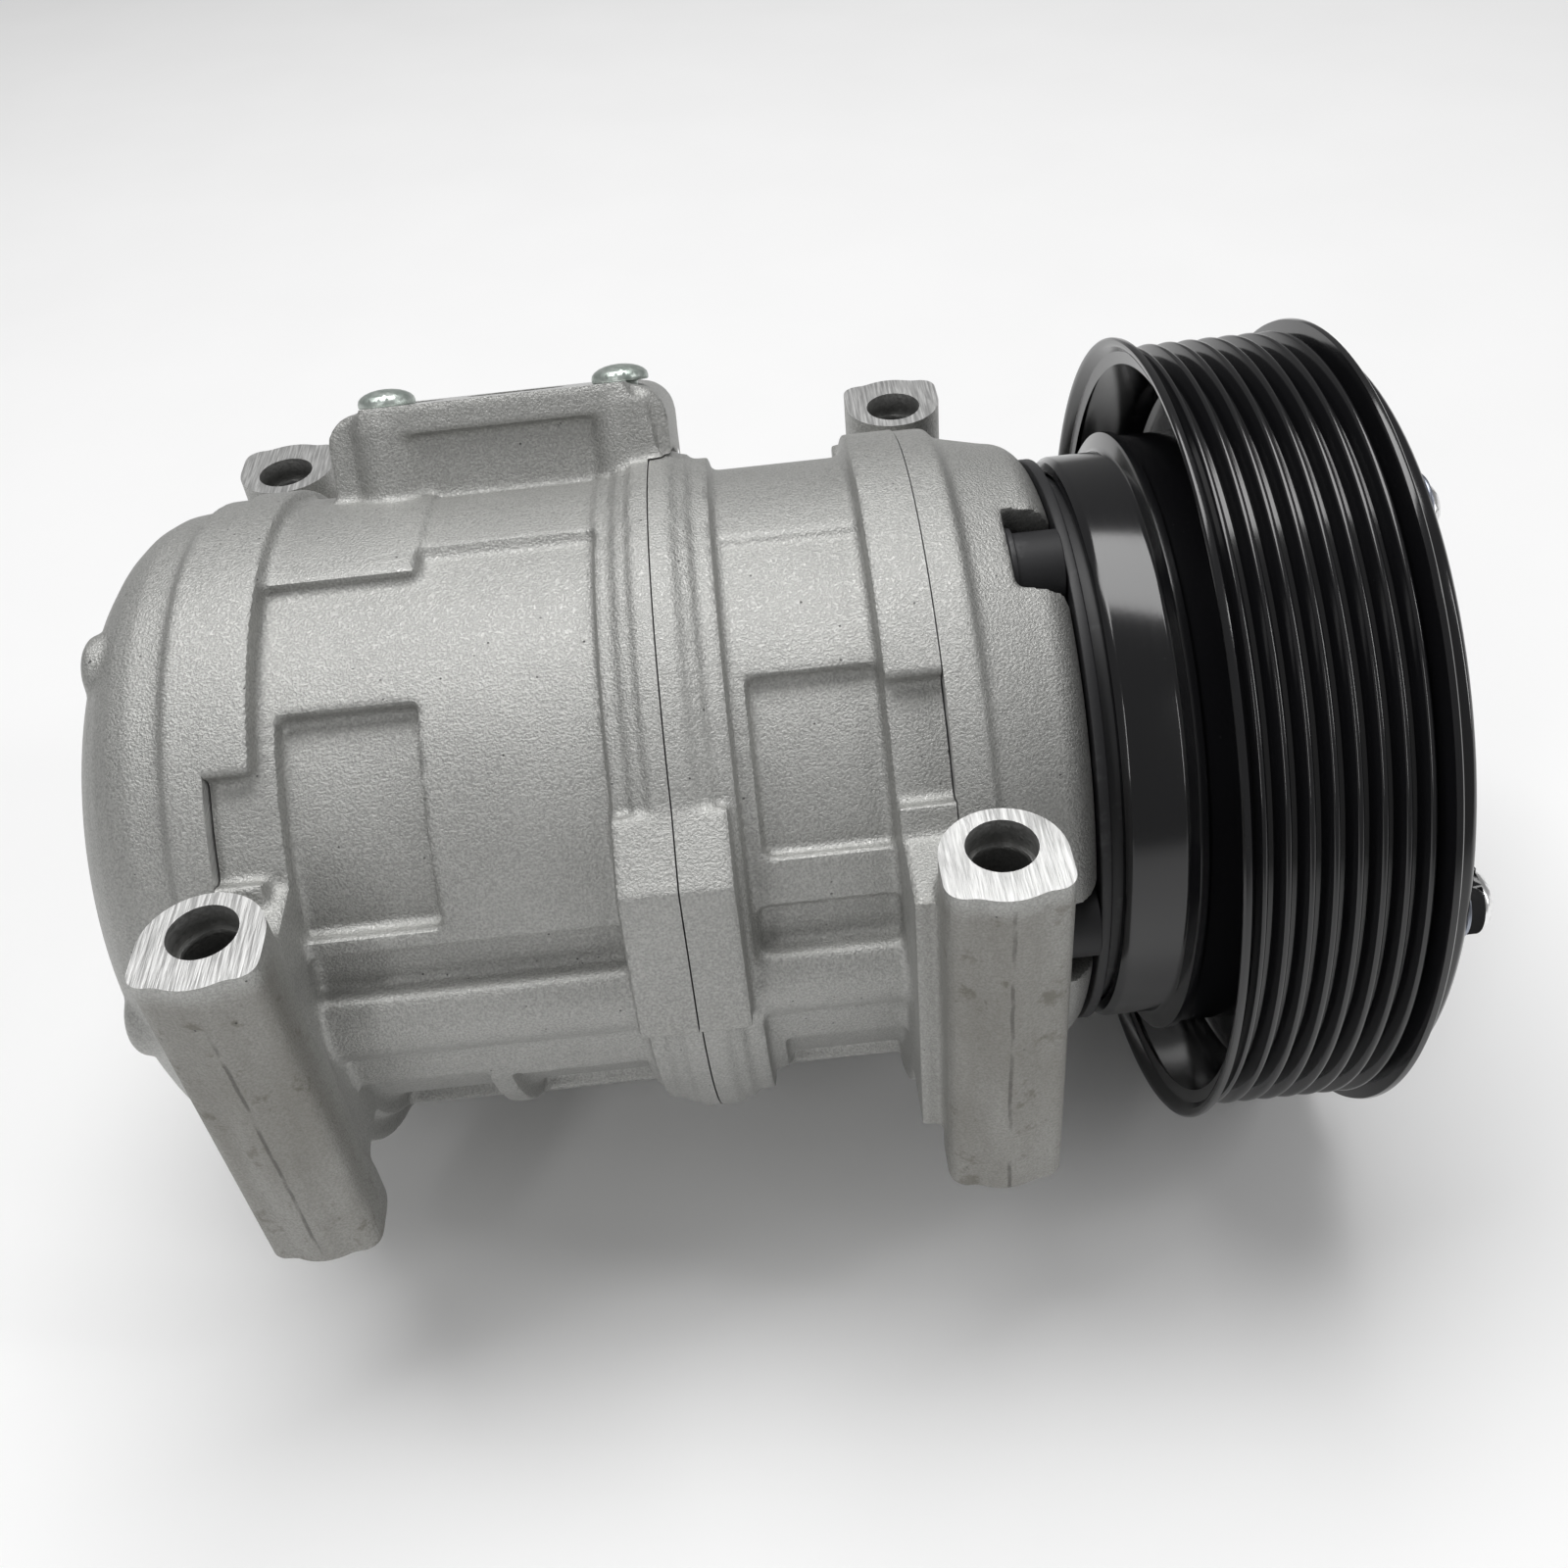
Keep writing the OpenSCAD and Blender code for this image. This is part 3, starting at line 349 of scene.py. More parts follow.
class Finish:
    """A material on a Principled shader, with helpers for its nodes."""

    def __init__(self, name, **constants):
        self.material = bpy.data.materials.new(name)
        self.material.use_nodes = True
        self.tree = self.material.node_tree
        self.shader = self.tree.nodes["Principled BSDF"]
        for socket, value in constants.items():
            self.shader.inputs[socket.replace("_", " ")].default_value = value
        self.place = self.node("ShaderNodeTexCoord").outputs["Object"]

    def node(self, kind, settings=None, values=None):
        """Adds a node; its settings are set before the values or links of its sockets."""
        node = self.tree.nodes.new(kind)
        for name, value in (settings or {}).items():
            setattr(node, name, value)
        for socket, value in (values or {}).items():
            if isinstance(value, Field):
                value = value.socket
            if isinstance(value, bpy.types.NodeSocket):
                self.tree.links.new(value, node.inputs[socket])
            else:
                node.inputs[socket].default_value = value
        return node

    def stretched(self, x, y, z):
        """Object coordinates scaled along each axis."""
        node = self.node("ShaderNodeMapping", {"vector_type": "TEXTURE"},
                         {"Vector": self.place, "Scale": (1 / x, 1 / y, 1 / z)})
        return node.outputs["Vector"]

    def noise(self, size, detail=2.0, rough=0.5, where=None):
        """Noise from 0 to 1 whose features are about that many metres across."""
        node = self.node("ShaderNodeTexNoise", {"normalize": True},
                         {"Vector": where or self.place, "Scale": 1 / size, "Detail": detail,
                          "Roughness": rough})
        return Field(self, node.outputs["Fac"])

    def cells(self, size):
        """Distance from the nearest of many scattered points, in cell sizes."""
        node = self.node("ShaderNodeTexVoronoi", {"feature": "F1"}, {"Vector": self.place, "Scale": 1 / size})
        return Field(self, node.outputs["Distance"])

    def axis(self, letter):
        node = self.node("ShaderNodeSeparateXYZ", None, {0: self.place})
        return Field(self, node.outputs[letter])

    def mix(self, mask, first, second):
        """Colour that goes from first to second with the mask."""
        node = self.node("ShaderNodeMix", {"data_type": "RGBA"}, {0: mask, 6: first, 7: second})
        return node.outputs[2]

    def shade(self, colour, amount):
        """Colour brightened or darkened by a value around 1."""
        if isinstance(colour, tuple):
            colour = colour[:3]
        node = self.node("ShaderNodeVectorMath", {"operation": "SCALE"}, {0: colour, "Scale": amount})
        return node.outputs[0]

    def bump(self, height, distance, strength):
        """Surface normal of a height field; a height of 1 stands that distance out."""
        values = {"Height": height, "Distance": distance, "Strength": strength}
        return self.node("ShaderNodeBump", None, values).outputs["Normal"]

    def done(self, colour, roughness, normal=None):
        """Links what was made into the shader and gives the material."""
        self.tree.links.new(colour, self.shader.inputs["Base Color"])
        self.tree.links.new(roughness.socket, self.shader.inputs["Roughness"])
        if normal:
            self.tree.links.new(normal, self.shader.inputs["Normal"])
        return self.material


def rgba(colour):
    return (*colour[:3], 1.0)


def tint(colour, amount):
    """Colour with each channel scaled."""
    return rgba([channel * amount for channel in colour[:3]])


def cast_aluminium(colour):
    """Blasted casting: fine sparkle, soft blotches, pin holes, and grime and a parting line on the ears."""
    f = Finish("cast_aluminium", Metallic=0.80)
    grain = f.noise(0.42 * MM, 3, 0.6).rise(0.30, 0.70)
    coarse = f.noise(1.2 * MM, 2, 0.6)
    cloud = f.noise(16 * MM, 4, 0.6)
    pits = f.cells(2.6 * MM).rise(0.055, 0.085)
    sparse = f.noise(5 * MM).rise(0.52, 0.60)
    pit_mask = (1 - pits) * sparse
    tone = 0.62 + grain * 0.34 + coarse * 0.12 + cloud * 0.18
    base = f.shade(rgba(colour), tone)
    side = f.axis("Y").absolute().rise(62 * MM, 71 * MM)
    low = (f.axis("Z") * -1).rise(0.5 * MM, 5 * MM)
    smear = f.noise(15 * MM, 4, 0.6, f.stretched(1, 1, 0.3)).rise(0.35, 0.70)
    stain = f.noise(5 * MM, 4, 0.7).rise(0.56, 0.68)
    grime = side * low * (0.36 + smear * 0.28 + stain * 0.34)
    base = f.mix(grime, base, (0.20, 0.19, 0.165, 1))
    line = parting_line(f) * side * low
    base = f.mix(line * 0.55, base, (0.07, 0.065, 0.06, 1))
    base = f.mix(pit_mask * 0.75, base, (0.06, 0.06, 0.06, 1))
    rough = 0.44 + coarse * 0.12 + grime * 0.14
    height = grain * 0.6 + coarse * 0.4 - pit_mask * 1.6 - line * 1.6
    return f.done(base, rough, f.bump(height, 0.16 * MM, 0.8))


def parting_line(finish):
    """Thin, slightly wandering upright line down the middle of each ear's outer face."""
    x = finish.axis("X") + (finish.noise(6 * MM, 2) - 0.5) * (0.8 * MM)
    lines = None
    for ear in (0.0, NEAR_EAR_X, FAR_EAR_X):
        near = 1 - (x - ear).absolute().rise(0.12 * MM, 0.4 * MM)
        lines = near if lines is None else lines + near
    return lines * finish.noise(5 * MM, 3, 0.6, finish.stretched(1, 1, 0.4)).rise(0.40, 0.56)


def machined_aluminium(colour):
    """Milled face: bright, with fine parallel cutter marks and painted shade deeper down the ear holes."""
    f = Finish("machined_aluminium", Metallic=0.85)
    marks = f.noise(0.45 * MM, 3, 0.6, f.stretched(1, 0.05, 1)).rise(0.3, 0.7)
    wide = f.noise(1.8 * MM, 2, 0.5, f.stretched(1, 0.08, 1))
    haze = f.noise(9 * MM, 3)
    nicks = (1 - f.cells(3.2 * MM).rise(0.03, 0.05)) * f.noise(6 * MM).rise(0.55, 0.6)
    base = f.shade(rgba(colour), 0.76 + marks * 0.24 + wide * 0.16 + haze * 0.1)
    base = f.mix(nicks * 0.7, base, (0.12, 0.12, 0.12, 1))
    # Painted shade: the machined faces inside the ear holes get darker the deeper they lie below the ear top
    z = f.axis("Z")
    inside = (z * -1).rise(0.2 * MM, 4 * MM) * (z - EAR_BOTTOM).rise(0.1 * MM, 0.5 * MM)
    base = f.mix(inside * f.axis("Y").absolute().rise(50 * MM, 54 * MM) * 0.75, base, (0.10, 0.10, 0.095, 1))
    return f.done(base, 0.24 + marks * 0.16 + haze * 0.1, f.bump(marks + wide - nicks, 0.05 * MM, 0.7))


def black_enamel(colour):
    """Dipped black enamel over turned steel: deep gloss, faint turning lines and dust."""
    f = Finish("black_enamel", Specular_IOR_Level=0.7)
    lines = f.noise(0.40 * MM, 2, 0.5, f.stretched(1, 0.02, 0.02))
    peel = f.noise(1.3 * MM, 2, 0.5)
    dust = f.noise(0.5 * MM, 3, 0.75).rise(0.64, 0.78)
    film = f.noise(20 * MM, 3)
    base = f.mix(dust * 0.25 + film * 0.03, rgba(colour), (0.06, 0.06, 0.06, 1))
    roughness = 0.10 + film * 0.06 + dust * 0.16 + lines * 0.04
    return f.done(base, roughness, f.bump(lines * 0.35 + peel * 0.35, 0.016 * MM, 0.5))


def satin_black(colour, name="satin_black", rough=0.42):
    """Pressed steel with a thin satin black coat, rubbed a little at random."""
    f = Finish(name)
    grain = f.noise(0.28 * MM, 3, 0.7)
    rub = f.noise(7 * MM, 4, 0.65).rise(0.55, 0.75)
    base = f.mix(rub * 0.5 + grain * 0.2, tint(colour, 1.5), (0.075, 0.075, 0.078, 1))
    return f.done(base, rough + grain * 0.14 - rub * 0.1, f.bump(grain, 0.03 * MM, 0.6))


def bright_steel(name, colour, rough, lines, tone=None):
    """Turned or ground steel: fine lines about the shaft, haze and a few stains."""
    f = Finish(name, Metallic=1.0)
    turning = f.noise(0.22 * MM, 2, 0.55, f.stretched(1, 0.06, 0.06))
    haze = f.noise(5 * MM, 4, 0.6)
    spots = f.noise(1.4 * MM, 3, 0.7).rise(0.62, 0.74)
    base = f.shade(rgba(colour), 0.86 + haze * 0.22 + turning * 0.06)
    base = f.mix(spots * 0.35, base, tint(tone or colour, 0.45))
    roughness = rough + haze * 0.12 + spots * 0.16
    return f.done(base, roughness, f.bump(turning * lines + spots * 0.2, 0.02 * MM, 0.5))


def zinc_plate():
    """Pale green-grey plating with a soft bloom."""
    f = Finish("zinc_plate", Metallic=0.85)
    bloom = f.noise(1.8 * MM, 4, 0.65)
    grain = f.noise(0.25 * MM, 2, 0.6)
    base = f.mix(bloom.rise(0.35, 0.7), (0.44, 0.50, 0.46, 1), (0.62, 0.66, 0.63, 1))
    return f.done(base, 0.30 + bloom * 0.2, f.bump(grain + bloom * 0.8, 0.03 * MM, 0.6))


def seal_rubber():
    f = Finish("seal_rubber")
    grain = f.noise(0.35 * MM, 3, 0.7)
    bloom = f.noise(8 * MM, 3)
    base = f.mix(bloom * 0.5, (0.012, 0.012, 0.012, 1), (0.045, 0.043, 0.041, 1))
    return f.done(base, 0.62 + grain * 0.2, f.bump(grain, 0.04 * MM, 0.6))


def gasket_sheet():
    f = Finish("gasket_sheet")
    speck = f.noise(0.5 * MM, 3, 0.75)
    base = f.mix(speck.rise(0.4, 0.65), (0.035, 0.036, 0.04, 1), (0.10, 0.10, 0.105, 1))
    return f.done(base, 0.55 + speck * 0.2, f.bump(speck, 0.03 * MM, 0.5))


def moulded_plastic():
    f = Finish("moulded_plastic")
    grain = f.noise(0.22 * MM, 2, 0.6)
    flow = f.noise(6 * MM, 3, 0.5, f.stretched(0.4, 1, 1))
    base = f.mix(flow * 0.6, (0.010, 0.010, 0.011, 1), (0.035, 0.035, 0.037, 1))
    return f.done(base, 0.38 + grain * 0.2, f.bump(grain, 0.02 * MM, 0.5))


def copper_winding():
    """Enamelled wire wound in rows about the shaft, with painted shade in the gaps between the rows."""
    f = Finish("copper_winding", Metallic=0.9)
    wire = 0.7 * MM
    wire_ridge_and_shade = (f.axis("X") * (2 * math.pi / wire)).sine() * 0.5 + 0.5
    varnish = f.noise(4 * MM, 3)
    # Painted shade: the copper colour darkens towards the gaps between the wire rows, on the same ridges that
    # drive the bump
    base = f.mix(wire_ridge_and_shade * 0.7, (0.20, 0.07, 0.025, 1), (0.72, 0.34, 0.14, 1))
    return f.done(base, 0.28 + varnish * 0.25, f.bump(wire_ridge_and_shade, 0.25 * MM, 0.9))


FINISHES = {}


def make_finishes():
    """One material for every slot of the record."""
    casting = bpy.context.scene.compressor_casting
    clutch = bpy.context.scene.compressor_clutch
    FINISHES.update({
        "cast_aluminium": cast_aluminium(casting.cast_colour),
        "machined": machined_aluminium(casting.cut_colour),
        "piston_aluminium": bright_steel("piston_aluminium", (0.80, 0.80, 0.79), 0.26, 0.8),
        "black_paint": black_enamel(clutch.black),
        "plate_black": satin_black(clutch.black),
        "black_bolt": satin_black(clutch.black, "black_oxide", 0.5),
        "black_plastic": moulded_plastic(),
        "zinc_plate": zinc_plate(),
        "rivet_steel": bright_steel("rivet_steel", (0.86, 0.86, 0.86), 0.22, 0.3),
        "ground_steel": bright_steel("ground_steel", (0.56, 0.56, 0.57), 0.24, 0.6),
        "bearing_steel": bright_steel("bearing_steel", (0.64, 0.64, 0.66), 0.12, 0.2),
        "spring_steel": bright_steel("spring_steel", (0.30, 0.32, 0.37), 0.28, 0.3, (0.2, 0.16, 0.12)),
        "swash_iron": bright_steel("swash_iron", (0.33, 0.31, 0.29), 0.36, 0.9),
        "seal_rubber": seal_rubber(),
        "gasket_sheet": gasket_sheet(),
        "copper_wire": copper_winding(),
    })


# ---- castings ----

# is_on picks the CAD vertices of a machined face, outward is its normal, trim holds the box that cuts it, and
# disc the x range and radius of a round cut on top of the box
Face = namedtuple("Face", "is_on is_cut outward trim disc", defaults=[None])
TRIM = 4 * MM
# Each casting stops this much short of the joint, which leaves a thin dark line there
SEAM = 0.12 * MM
EAR_INNER = 55.8 * MM
EAR_OUTER = 76 * MM


def joint_face(x, sign, half_width, half_height=75 * MM, disc_r=None):
    """Machined face square to the shaft."""
    seam = x - sign * SEAM
    ends = sorted((seam, x + sign * TRIM))
    return Face(
        lambda p: abs(p.x - x) < TOUCH and abs(p.y) < half_width - 0.1 * MM,
        lambda p, n: abs(p.x - seam) < TOUCH and n.x * sign > 0.98,
        Vector((sign, 0, 0)),
        ((ends[0], -half_width, SHAFT_Z - half_height), (ends[1], half_width, SHAFT_Z + half_height),
         0.0, None),
        disc_r and (*ends, disc_r))


def ear_face(x, side, z, sign):
    """Machined end of an ear column."""
    reach = 11.5 * MM
    ends = sorted((z, z + sign * TRIM))
    sides = sorted((side * EAR_INNER, side * EAR_OUTER))
    return Face(
        lambda p: abs(p.z - z) < TOUCH and p.y * side > EAR_INNER - MM and abs(p.x - x) < reach,
        lambda p, n: abs(p.z - z) < TOUCH and n.z * sign > 0.98 and abs(p.x - x) < reach,
        Vector((0, 0, sign)),
        ((x - reach, sides[0], ends[0]), (x + reach, sides[1], ends[1]), 0.0, None))


def port_top():
    """Machined face of the port block."""
    middle = Vector(MOUNTS["suction_port"]["pos_m"])
    half = Vector((60 * MM, 40 * MM, TRIM / 2))
    centre = middle + PORT_AXIS * (PORT_HEIGHT + TRIM / 2 - (middle - SHAFT).dot(PORT_AXIS))
    return Face(
        lambda p: abs((p - SHAFT).dot(PORT_AXIS) - PORT_HEIGHT) < TOUCH,
        lambda p, n: abs((p - SHAFT).dot(PORT_AXIS) - PORT_HEIGHT) < TOUCH and n.dot(PORT_AXIS) > 0.98,
        PORT_AXIS,
        (-half, half, PORT_TURN, centre))


def finished_casting(node, faces, ears):
    """Rounds a casting as its mould leaves it, then machines its faces and drills its ears."""
    look = bpy.context.scene.compressor_casting
    piece = copy_of(node, node + "_casting")
    for face in faces:
        edit_vertices(piece, face.is_on)
        bpy.ops.transform.translate(value=face.outward * look.stock)
    grain = look.grain * 1
    modify(piece, "REMESH", mode="VOXEL", voxel_size=grain, adaptivity=0)
    modify(piece, "SMOOTH", factor=0.5, iterations=look.rounding)
    cut(piece, [block(*face.trim) for face in faces])
    for face in faces:
        if face.disc:
            cut(piece, [disc(*face.disc)])
    if ears:
        over = 0.02 * MM
        cut(piece, [drill(x, side * EAR_Y, WIDE_HOLE_R + over, -look.hole_step, TRIM) for x, side in ears])
        cut(piece, [drill(x, side * EAR_Y, HOLE_R + over, EAR_BOTTOM - TRIM, TRIM) for x, side in ears])
    # Triangles in one casting at most
    limit = 190_000
    count = sum(len(polygon.vertices) - 2 for polygon in piece.data.polygons)
    if count > limit:
        modify(piece, "DECIMATE", ratio=limit / count)
    smooth(piece, 32)
    hand_over(piece, "housing", node, "cast_aluminium", FINISHES["cast_aluminium"], FINISHES["machined"])
    bore = WIDE_HOLE_R + 0.1 * MM

    def is_machined(p, n):
        in_hole = any(math.hypot(p.x - x, p.y - side * EAR_Y) < bore for x, side in ears)
        return in_hole or any(face.is_cut(p, n) for face in faces)

    paint_faces(piece, 1, is_machined)


class COMPRESSOR_OT_castings(bpy.types.Operator):
    """Heads and cylinder blocks with their ears and the port block"""
    bl_idname = "compressor.castings"
    bl_label = "Castings"

    def execute(self, context):
        wide = 66 * MM
        between_ears = EAR_INNER - 0.1 * MM
        rear_ears = [(NEAR_EAR_X, -1), (FAR_EAR_X, 1)]
        front_ears = [(0.0, -1), (0.0, 1)]
        ends = [(0.0, 1), (EAR_BOTTOM, -1)]
        # The port block hangs over the middle joint, outside this radius and above this height
        overhang_r, lug_top = 60.8 * MM, 45 * MM
        finished_casting("rear_head", [joint_face(REAR_JOINT, 1, wide)], [])
        finished_casting("front_head", [joint_face(FRONT_JOINT, -1, wide)], [])
        finished_casting("rear_cylinder", [
            joint_face(REAR_JOINT, -1, between_ears), joint_face(MID_JOINT, 1, wide, lug_top, overhang_r),
            port_top(),
            *[ear_face(x, side, z, sign) for x, side in rear_ears for z, sign in ends]], rear_ears)
        finished_casting("front_cylinder", [
            joint_face(MID_JOINT, -1, wide), joint_face(FRONT_JOINT, 1, between_ears),
            *[ear_face(x, side, z, sign) for x, side in front_ears for z, sign in ends]], front_ears)
        return {"FINISHED"}


# ---- pulley and rotor ----

def belt_ribs(clutch, crest):
    """Outline of the ribs from the rear rim to the front one, with rounded crests."""
    middle = (PULLEY_BACK + PULLEY_FRONT) / 2
    points = []
    for i in range(clutch.grooves):
        x = middle + (i - (clutch.grooves - 1) / 2) * clutch.pitch
        foot = clutch.pitch / 2 - 0.35 * MM
        tip = 0.55 * MM
        points.append((crest - clutch.depth, x - foot))
        for k in range(-2, 3):
            angle = k * math.radians(32)
            points.append((crest - tip * (1 - math.cos(angle)), x + tip * math.sin(angle)))
        points.append((crest - clutch.depth, x + foot))
    return points


class COMPRESSOR_OT_pulley(bpy.types.Operator):
    """Grooved belt ring and the rotor drum inside it"""
    bl_idname = "compressor.pulley"
    bl_label = "Pulley and Rotor"

    def execute(self, context):
        clutch = context.scene.compressor_clutch
        back, front, rim = PULLEY_BACK, PULLEY_FRONT, PULLEY_R
        crest = rim - 1.8 * MM
        lip = 1.2 * MM
        # Radii of the seat on the rotor, of the hollow under the ribs and of its mouth at the rear
        seat_r, hollow_r, mouth_r = 54.5 * MM, 63.6 * MM, 68.2 * MM
        outline = [(rim - 1.5 * MM, back + 0.25 * MM), (rim - 0.9 * MM, back + 0.02 * MM),
                   (rim - 0.35 * MM, back), (rim - 0.05 * MM, back + 0.25 * MM),
                   (rim, back + 0.6 * MM), (rim - 0.15 * MM, back + lip),
                   *belt_ribs(clutch, crest),
                   (rim - 0.15 * MM, front - lip), (rim, front - 0.6 * MM),
                   (rim - 0.05 * MM, front - 0.25 * MM), (rim - 0.35 * MM, front),
                   (rim - 0.9 * MM, front - 0.02 * MM), (rim - 1.6 * MM, front - 0.5 * MM),
                   (seat_r + 0.7 * MM, front - 0.5 * MM), (seat_r, front - 0.9 * MM),
                   (seat_r, back + 17 * MM), (hollow_r - MM, back + 15.4 * MM),
                   (hollow_r, back + 14.4 * MM), (hollow_r, back + 9 * MM), (mouth_r, back + 3 * MM)]
        ring = lathe("pulley_ring", outline)
        smooth(ring, 38)
        hand_over(ring, "pulley", "pulley", "black_paint", FINISHES["black_paint"])

        # The friction face stands just clear of the engaged clutch plate
        face = front - 0.05 * MM
        step = back - 2.6 * MM
        # Radii of the drum, its collar, its seat in the belt ring, the coil space, the nave and the bore
        drum, collar_r, fit_r, coil_r, nave_r, bore_r = (r * MM for r in (52, 55.4, 54.4, 49.1, 36.6, 31))
        coil_end = 55 * MM
        outline = [(drum - 1.3 * MM, ROTOR_BACK), (drum - 0.8 * MM, ROTOR_BACK + 0.06 * MM),
                   (drum - 0.1 * MM, ROTOR_BACK + MM), (drum, ROTOR_BACK + 1.4 * MM),
                   (drum, step - 0.6 * MM), (drum + 0.3 * MM, step - 0.1 * MM),
                   (drum + 0.9 * MM, step + 0.2 * MM), (collar_r - 0.5 * MM, step + 0.5 * MM),
                   (collar_r - 0.05 * MM, step + 0.8 * MM), (collar_r, step + 1.3 * MM),
                   (collar_r, back - 0.5 * MM), (collar_r - 0.3 * MM, back - 0.15 * MM),
                   (fit_r, back), (fit_r, face), (bore_r, face), (bore_r, back - 0.2 * MM),
                   (nave_r - 1.6 * MM, back - 0.2 * MM), (nave_r, back + 0.8 * MM), (nave_r, coil_end),
                   (coil_r, coil_end), (coil_r, ROTOR_BACK + 0.4 * MM), (coil_r + 0.5 * MM, ROTOR_BACK)]
        rotor = lathe("rotor_drum", outline)
        inner, outer, floor_x = 43.5 * MM, 46.5 * MM, 53 * MM
        slot = [(inner, floor_x), (outer, floor_x), (outer, front + MM), (inner, front + MM)]
        slots = [lathe("slot", slot, 20, math.radians(60 * k), math.radians(44)) for k in range(6)]
        cut(rotor, slots)
        smooth(rotor, 38)
        hand_over(rotor, "pulley", "rotor", "black_paint", FINISHES["black_paint"])
        return {"FINISHED"}


# ---- clutch plate, coil and fasteners ----

class COMPRESSOR_OT_clutch(bpy.types.Operator):
    """Armature plate, leaf springs, hub and their rivets"""
    bl_idname = "compressor.clutch"
    bl_label = "Clutch Plate and Hub"

    def execute(self, context):
        edge = context.scene.compressor_clutch.edge
        for node, body, slot, look, width in (
                ("armature", "armature", "black_paint", "black_paint", edge),
                ("clutch_hub", "shaft", "black_paint", "black_paint", edge * 0.6),
                ("leaf_springs", "armature", "spring_steel", "spring_steel", edge * 0.4),
                ("armature_rivets", "armature", "rivet_steel", "rivet_steel", edge * 0.4),
                ("hub_rivets", "shaft", "rivet_steel", "rivet_steel", edge * 0.4),
                ("hub_bolt", "shaft", "zinc_plate", "zinc_plate", edge)):
            hand_over(broken_edges(node, width), body, node, slot, FINISHES[look])
        return {"FINISHED"}


class COMPRESSOR_OT_coil(bpy.types.Operator):
    """Coil plate, coil shell, terminal block and the rings that hold them"""
    bl_idname = "compressor.coil"
    bl_label = "Field Coil"

    def execute(self, context):
        edge = context.scene.compressor_clutch.edge
        for node, slot, look in (
                ("coil_bracket", "black_paint", "plate_black"),
                ("coil_shell", "black_paint", "plate_black"),
                ("coil_terminal", "black_plastic", "black_plastic"),
                ("coil_snap_ring", "spring_steel", "spring_steel")):
            hand_over(broken_edges(node, edge), "housing", node, slot, FINISHES[look])
        return {"FINISHED"}


class COMPRESSOR_OT_bolts(bpy.types.Operator):
    """Through bolts of the housing and the two small bolts of the port block"""
    bl_idname = "compressor.bolts"
    bl_label = "Bolts"

    def execute(self, context):
        edge = context.scene.compressor_clutch.edge
        hand_over(broken_edges("through_bolts", edge * 1.6, 3), "housing", "through_bolts", "black_bolt",
                  FINISHES["black_bolt"])
        hand_over(broken_edges("port_bolts", edge), "housing", "port_bolts", "zinc_plate",
                  FINISHES["zinc_plate"])
        return {"FINISHED"}


class COMPRESSOR_OT_inner_parts(bpy.types.Operator):
    """Finishes of the parts that stay as the frame gives them"""
    bl_idname = "compressor.inner_parts"
    bl_label = "Inner Parts"

    def execute(self, context):
        slots = {part["node"]: part["material_slot"] for part in frame["record"]["subparts"]}
        for node, piece in NODES.items():
            piece.data.materials.clear()
            piece.data.materials.append(FINISHES[slots[node]])
        return {"FINISHED"}


# ---- stage ----

# In metres, and in degrees about X, Y and Z
CAMERA_PLACE = (-0.0295, -0.22325, 0.16044)
CAMERA_TURN = (47.71, 4.648, -4.070)


def lamp(name, place, target, size, power):
    """Rectangular soft box that faces its target."""
    bpy.ops.object.light_add(type="AREA", location=place)
    light = bpy.context.object
    light.name = name
    light.rotation_euler = (Vector(target) - Vector(place)).to_track_quat("-Z", "Y").to_euler()
    light.data.shape = "RECTANGLE"
    light.data.size, light.data.size_y = size
    light.data.energy = power
    return light


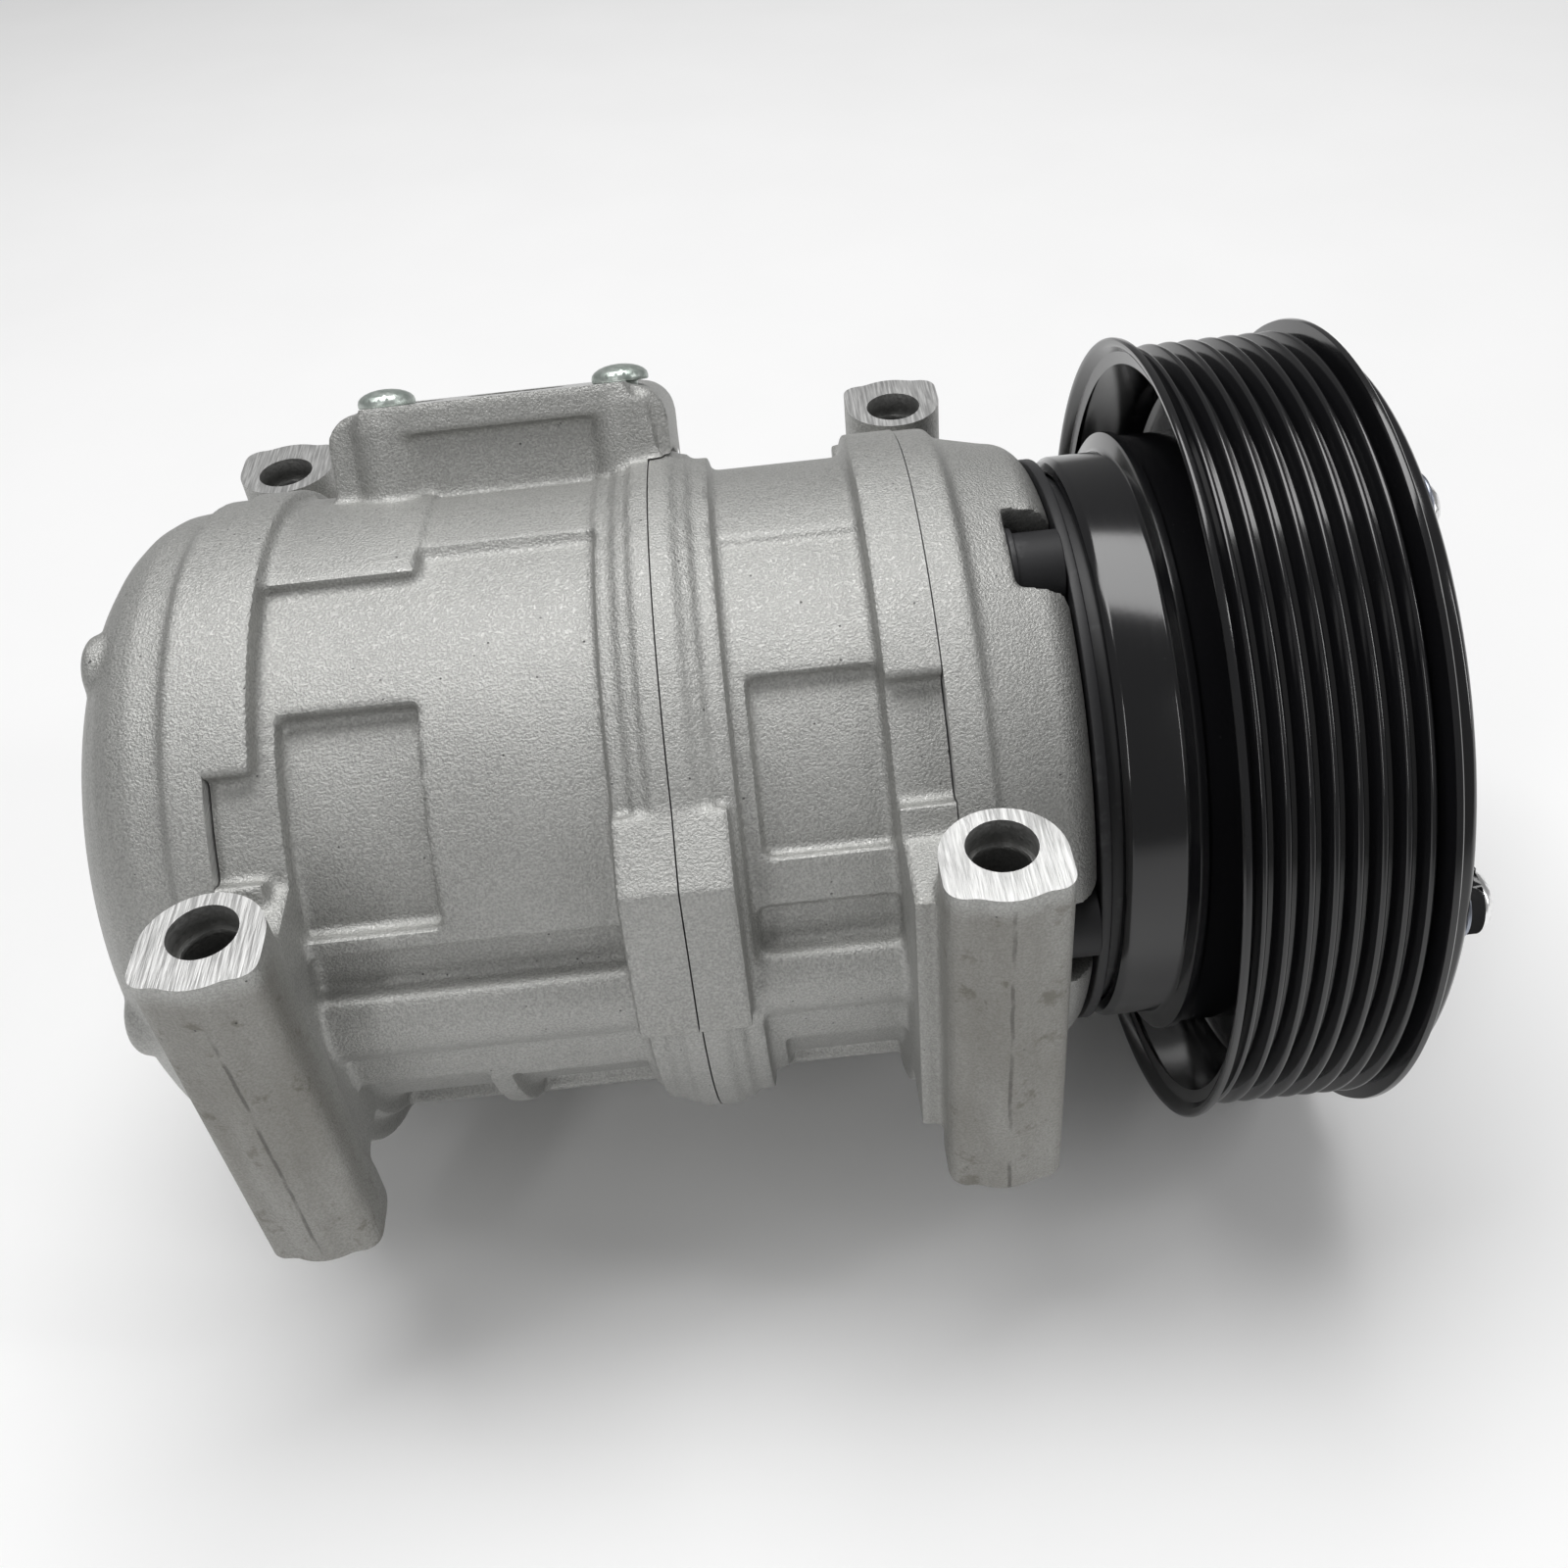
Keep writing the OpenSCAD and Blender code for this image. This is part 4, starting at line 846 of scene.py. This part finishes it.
class COMPRESSOR_OT_stage(bpy.types.Operator):
    """Pale floor, soft boxes, plain surroundings and the camera"""
    bl_idname = "compressor.stage"
    bl_label = "Stage"

    def execute(self, context):
        look = context.scene.compressor_stage
        f = Finish("floor")
        speck = f.noise(60 * MM, 3)
        material = f.done(f.shade(rgba(look.floor_colour), 0.985 + speck * 0.03), 0.6 + speck * 0.1)
        bpy.ops.mesh.primitive_plane_add(size=6, location=(0, 0, CAD_BOX[0][2] - 0.5 * MM))
        floor = context.object
        floor.name = "floor"
        floor.data.materials.append(material)
        settle(floor)

        middle = (-0.03, 0, -0.03)
        lamp("overhead", (-0.15, 0.32, 1.3), middle, (1.4, 0.8), look.key_power)
        lamp("front", (-0.45, -0.75, 0.50), middle, (0.10, 0.6), look.key_power * 0.07)
        lamp("side", (0.70, -0.25, 0.40), middle, (0.10, 0.6), look.key_power * 0.08)

        world = bpy.data.worlds.new("surroundings")
        world.use_nodes = True
        world.node_tree.nodes["Background"].inputs["Color"].default_value = (1, 1, 1, 1)
        world.node_tree.nodes["Background"].inputs["Strength"].default_value = look.sky
        context.scene.world = world
        context.scene.view_settings.view_transform = "Standard"

        turn = [math.radians(angle) for angle in CAMERA_TURN]
        bpy.ops.object.camera_add(location=CAMERA_PLACE, rotation=turn)
        camera = context.object
        camera.data.lens = look.lens
        camera.data.clip_start = 0.01
        context.scene.camera = camera
        return {"FINISHED"}


class COMPRESSOR_PT_panel(bpy.types.Panel):
    bl_label = "Compressor"
    bl_idname = "COMPRESSOR_PT_panel"
    bl_space_type = "VIEW_3D"
    bl_region_type = "UI"
    bl_category = "Compressor"

    def draw(self, context):
        for settings in (context.scene.compressor_casting, context.scene.compressor_clutch,
                         context.scene.compressor_stage):
            box = self.layout.box()
            for name in settings.__annotations__:
                box.prop(settings, name)
        for operator in OPERATORS:
            self.layout.operator(operator.bl_idname)


OPERATORS = (COMPRESSOR_OT_stage, COMPRESSOR_OT_inner_parts, COMPRESSOR_OT_castings, COMPRESSOR_OT_pulley,
             COMPRESSOR_OT_clutch, COMPRESSOR_OT_coil, COMPRESSOR_OT_bolts)
CLASSES = (CastingSettings, ClutchSettings, StageSettings, *OPERATORS, COMPRESSOR_PT_panel)


def register():
    for cls in CLASSES:
        bpy.utils.register_class(cls)
    bpy.types.Scene.compressor_casting = PointerProperty(type=CastingSettings)
    bpy.types.Scene.compressor_clutch = PointerProperty(type=ClutchSettings)
    bpy.types.Scene.compressor_stage = PointerProperty(type=StageSettings)


def unregister():
    del bpy.types.Scene.compressor_stage
    del bpy.types.Scene.compressor_clutch
    del bpy.types.Scene.compressor_casting
    for cls in reversed(CLASSES):
        bpy.utils.unregister_class(cls)


def main():
    register()
    make_finishes()
    bpy.ops.compressor.stage()
    bpy.ops.compressor.inner_parts()
    bpy.ops.compressor.castings()
    bpy.ops.compressor.pulley()
    bpy.ops.compressor.clutch()
    bpy.ops.compressor.coil()
    bpy.ops.compressor.bolts()


if __name__ == "__main__":
    main()
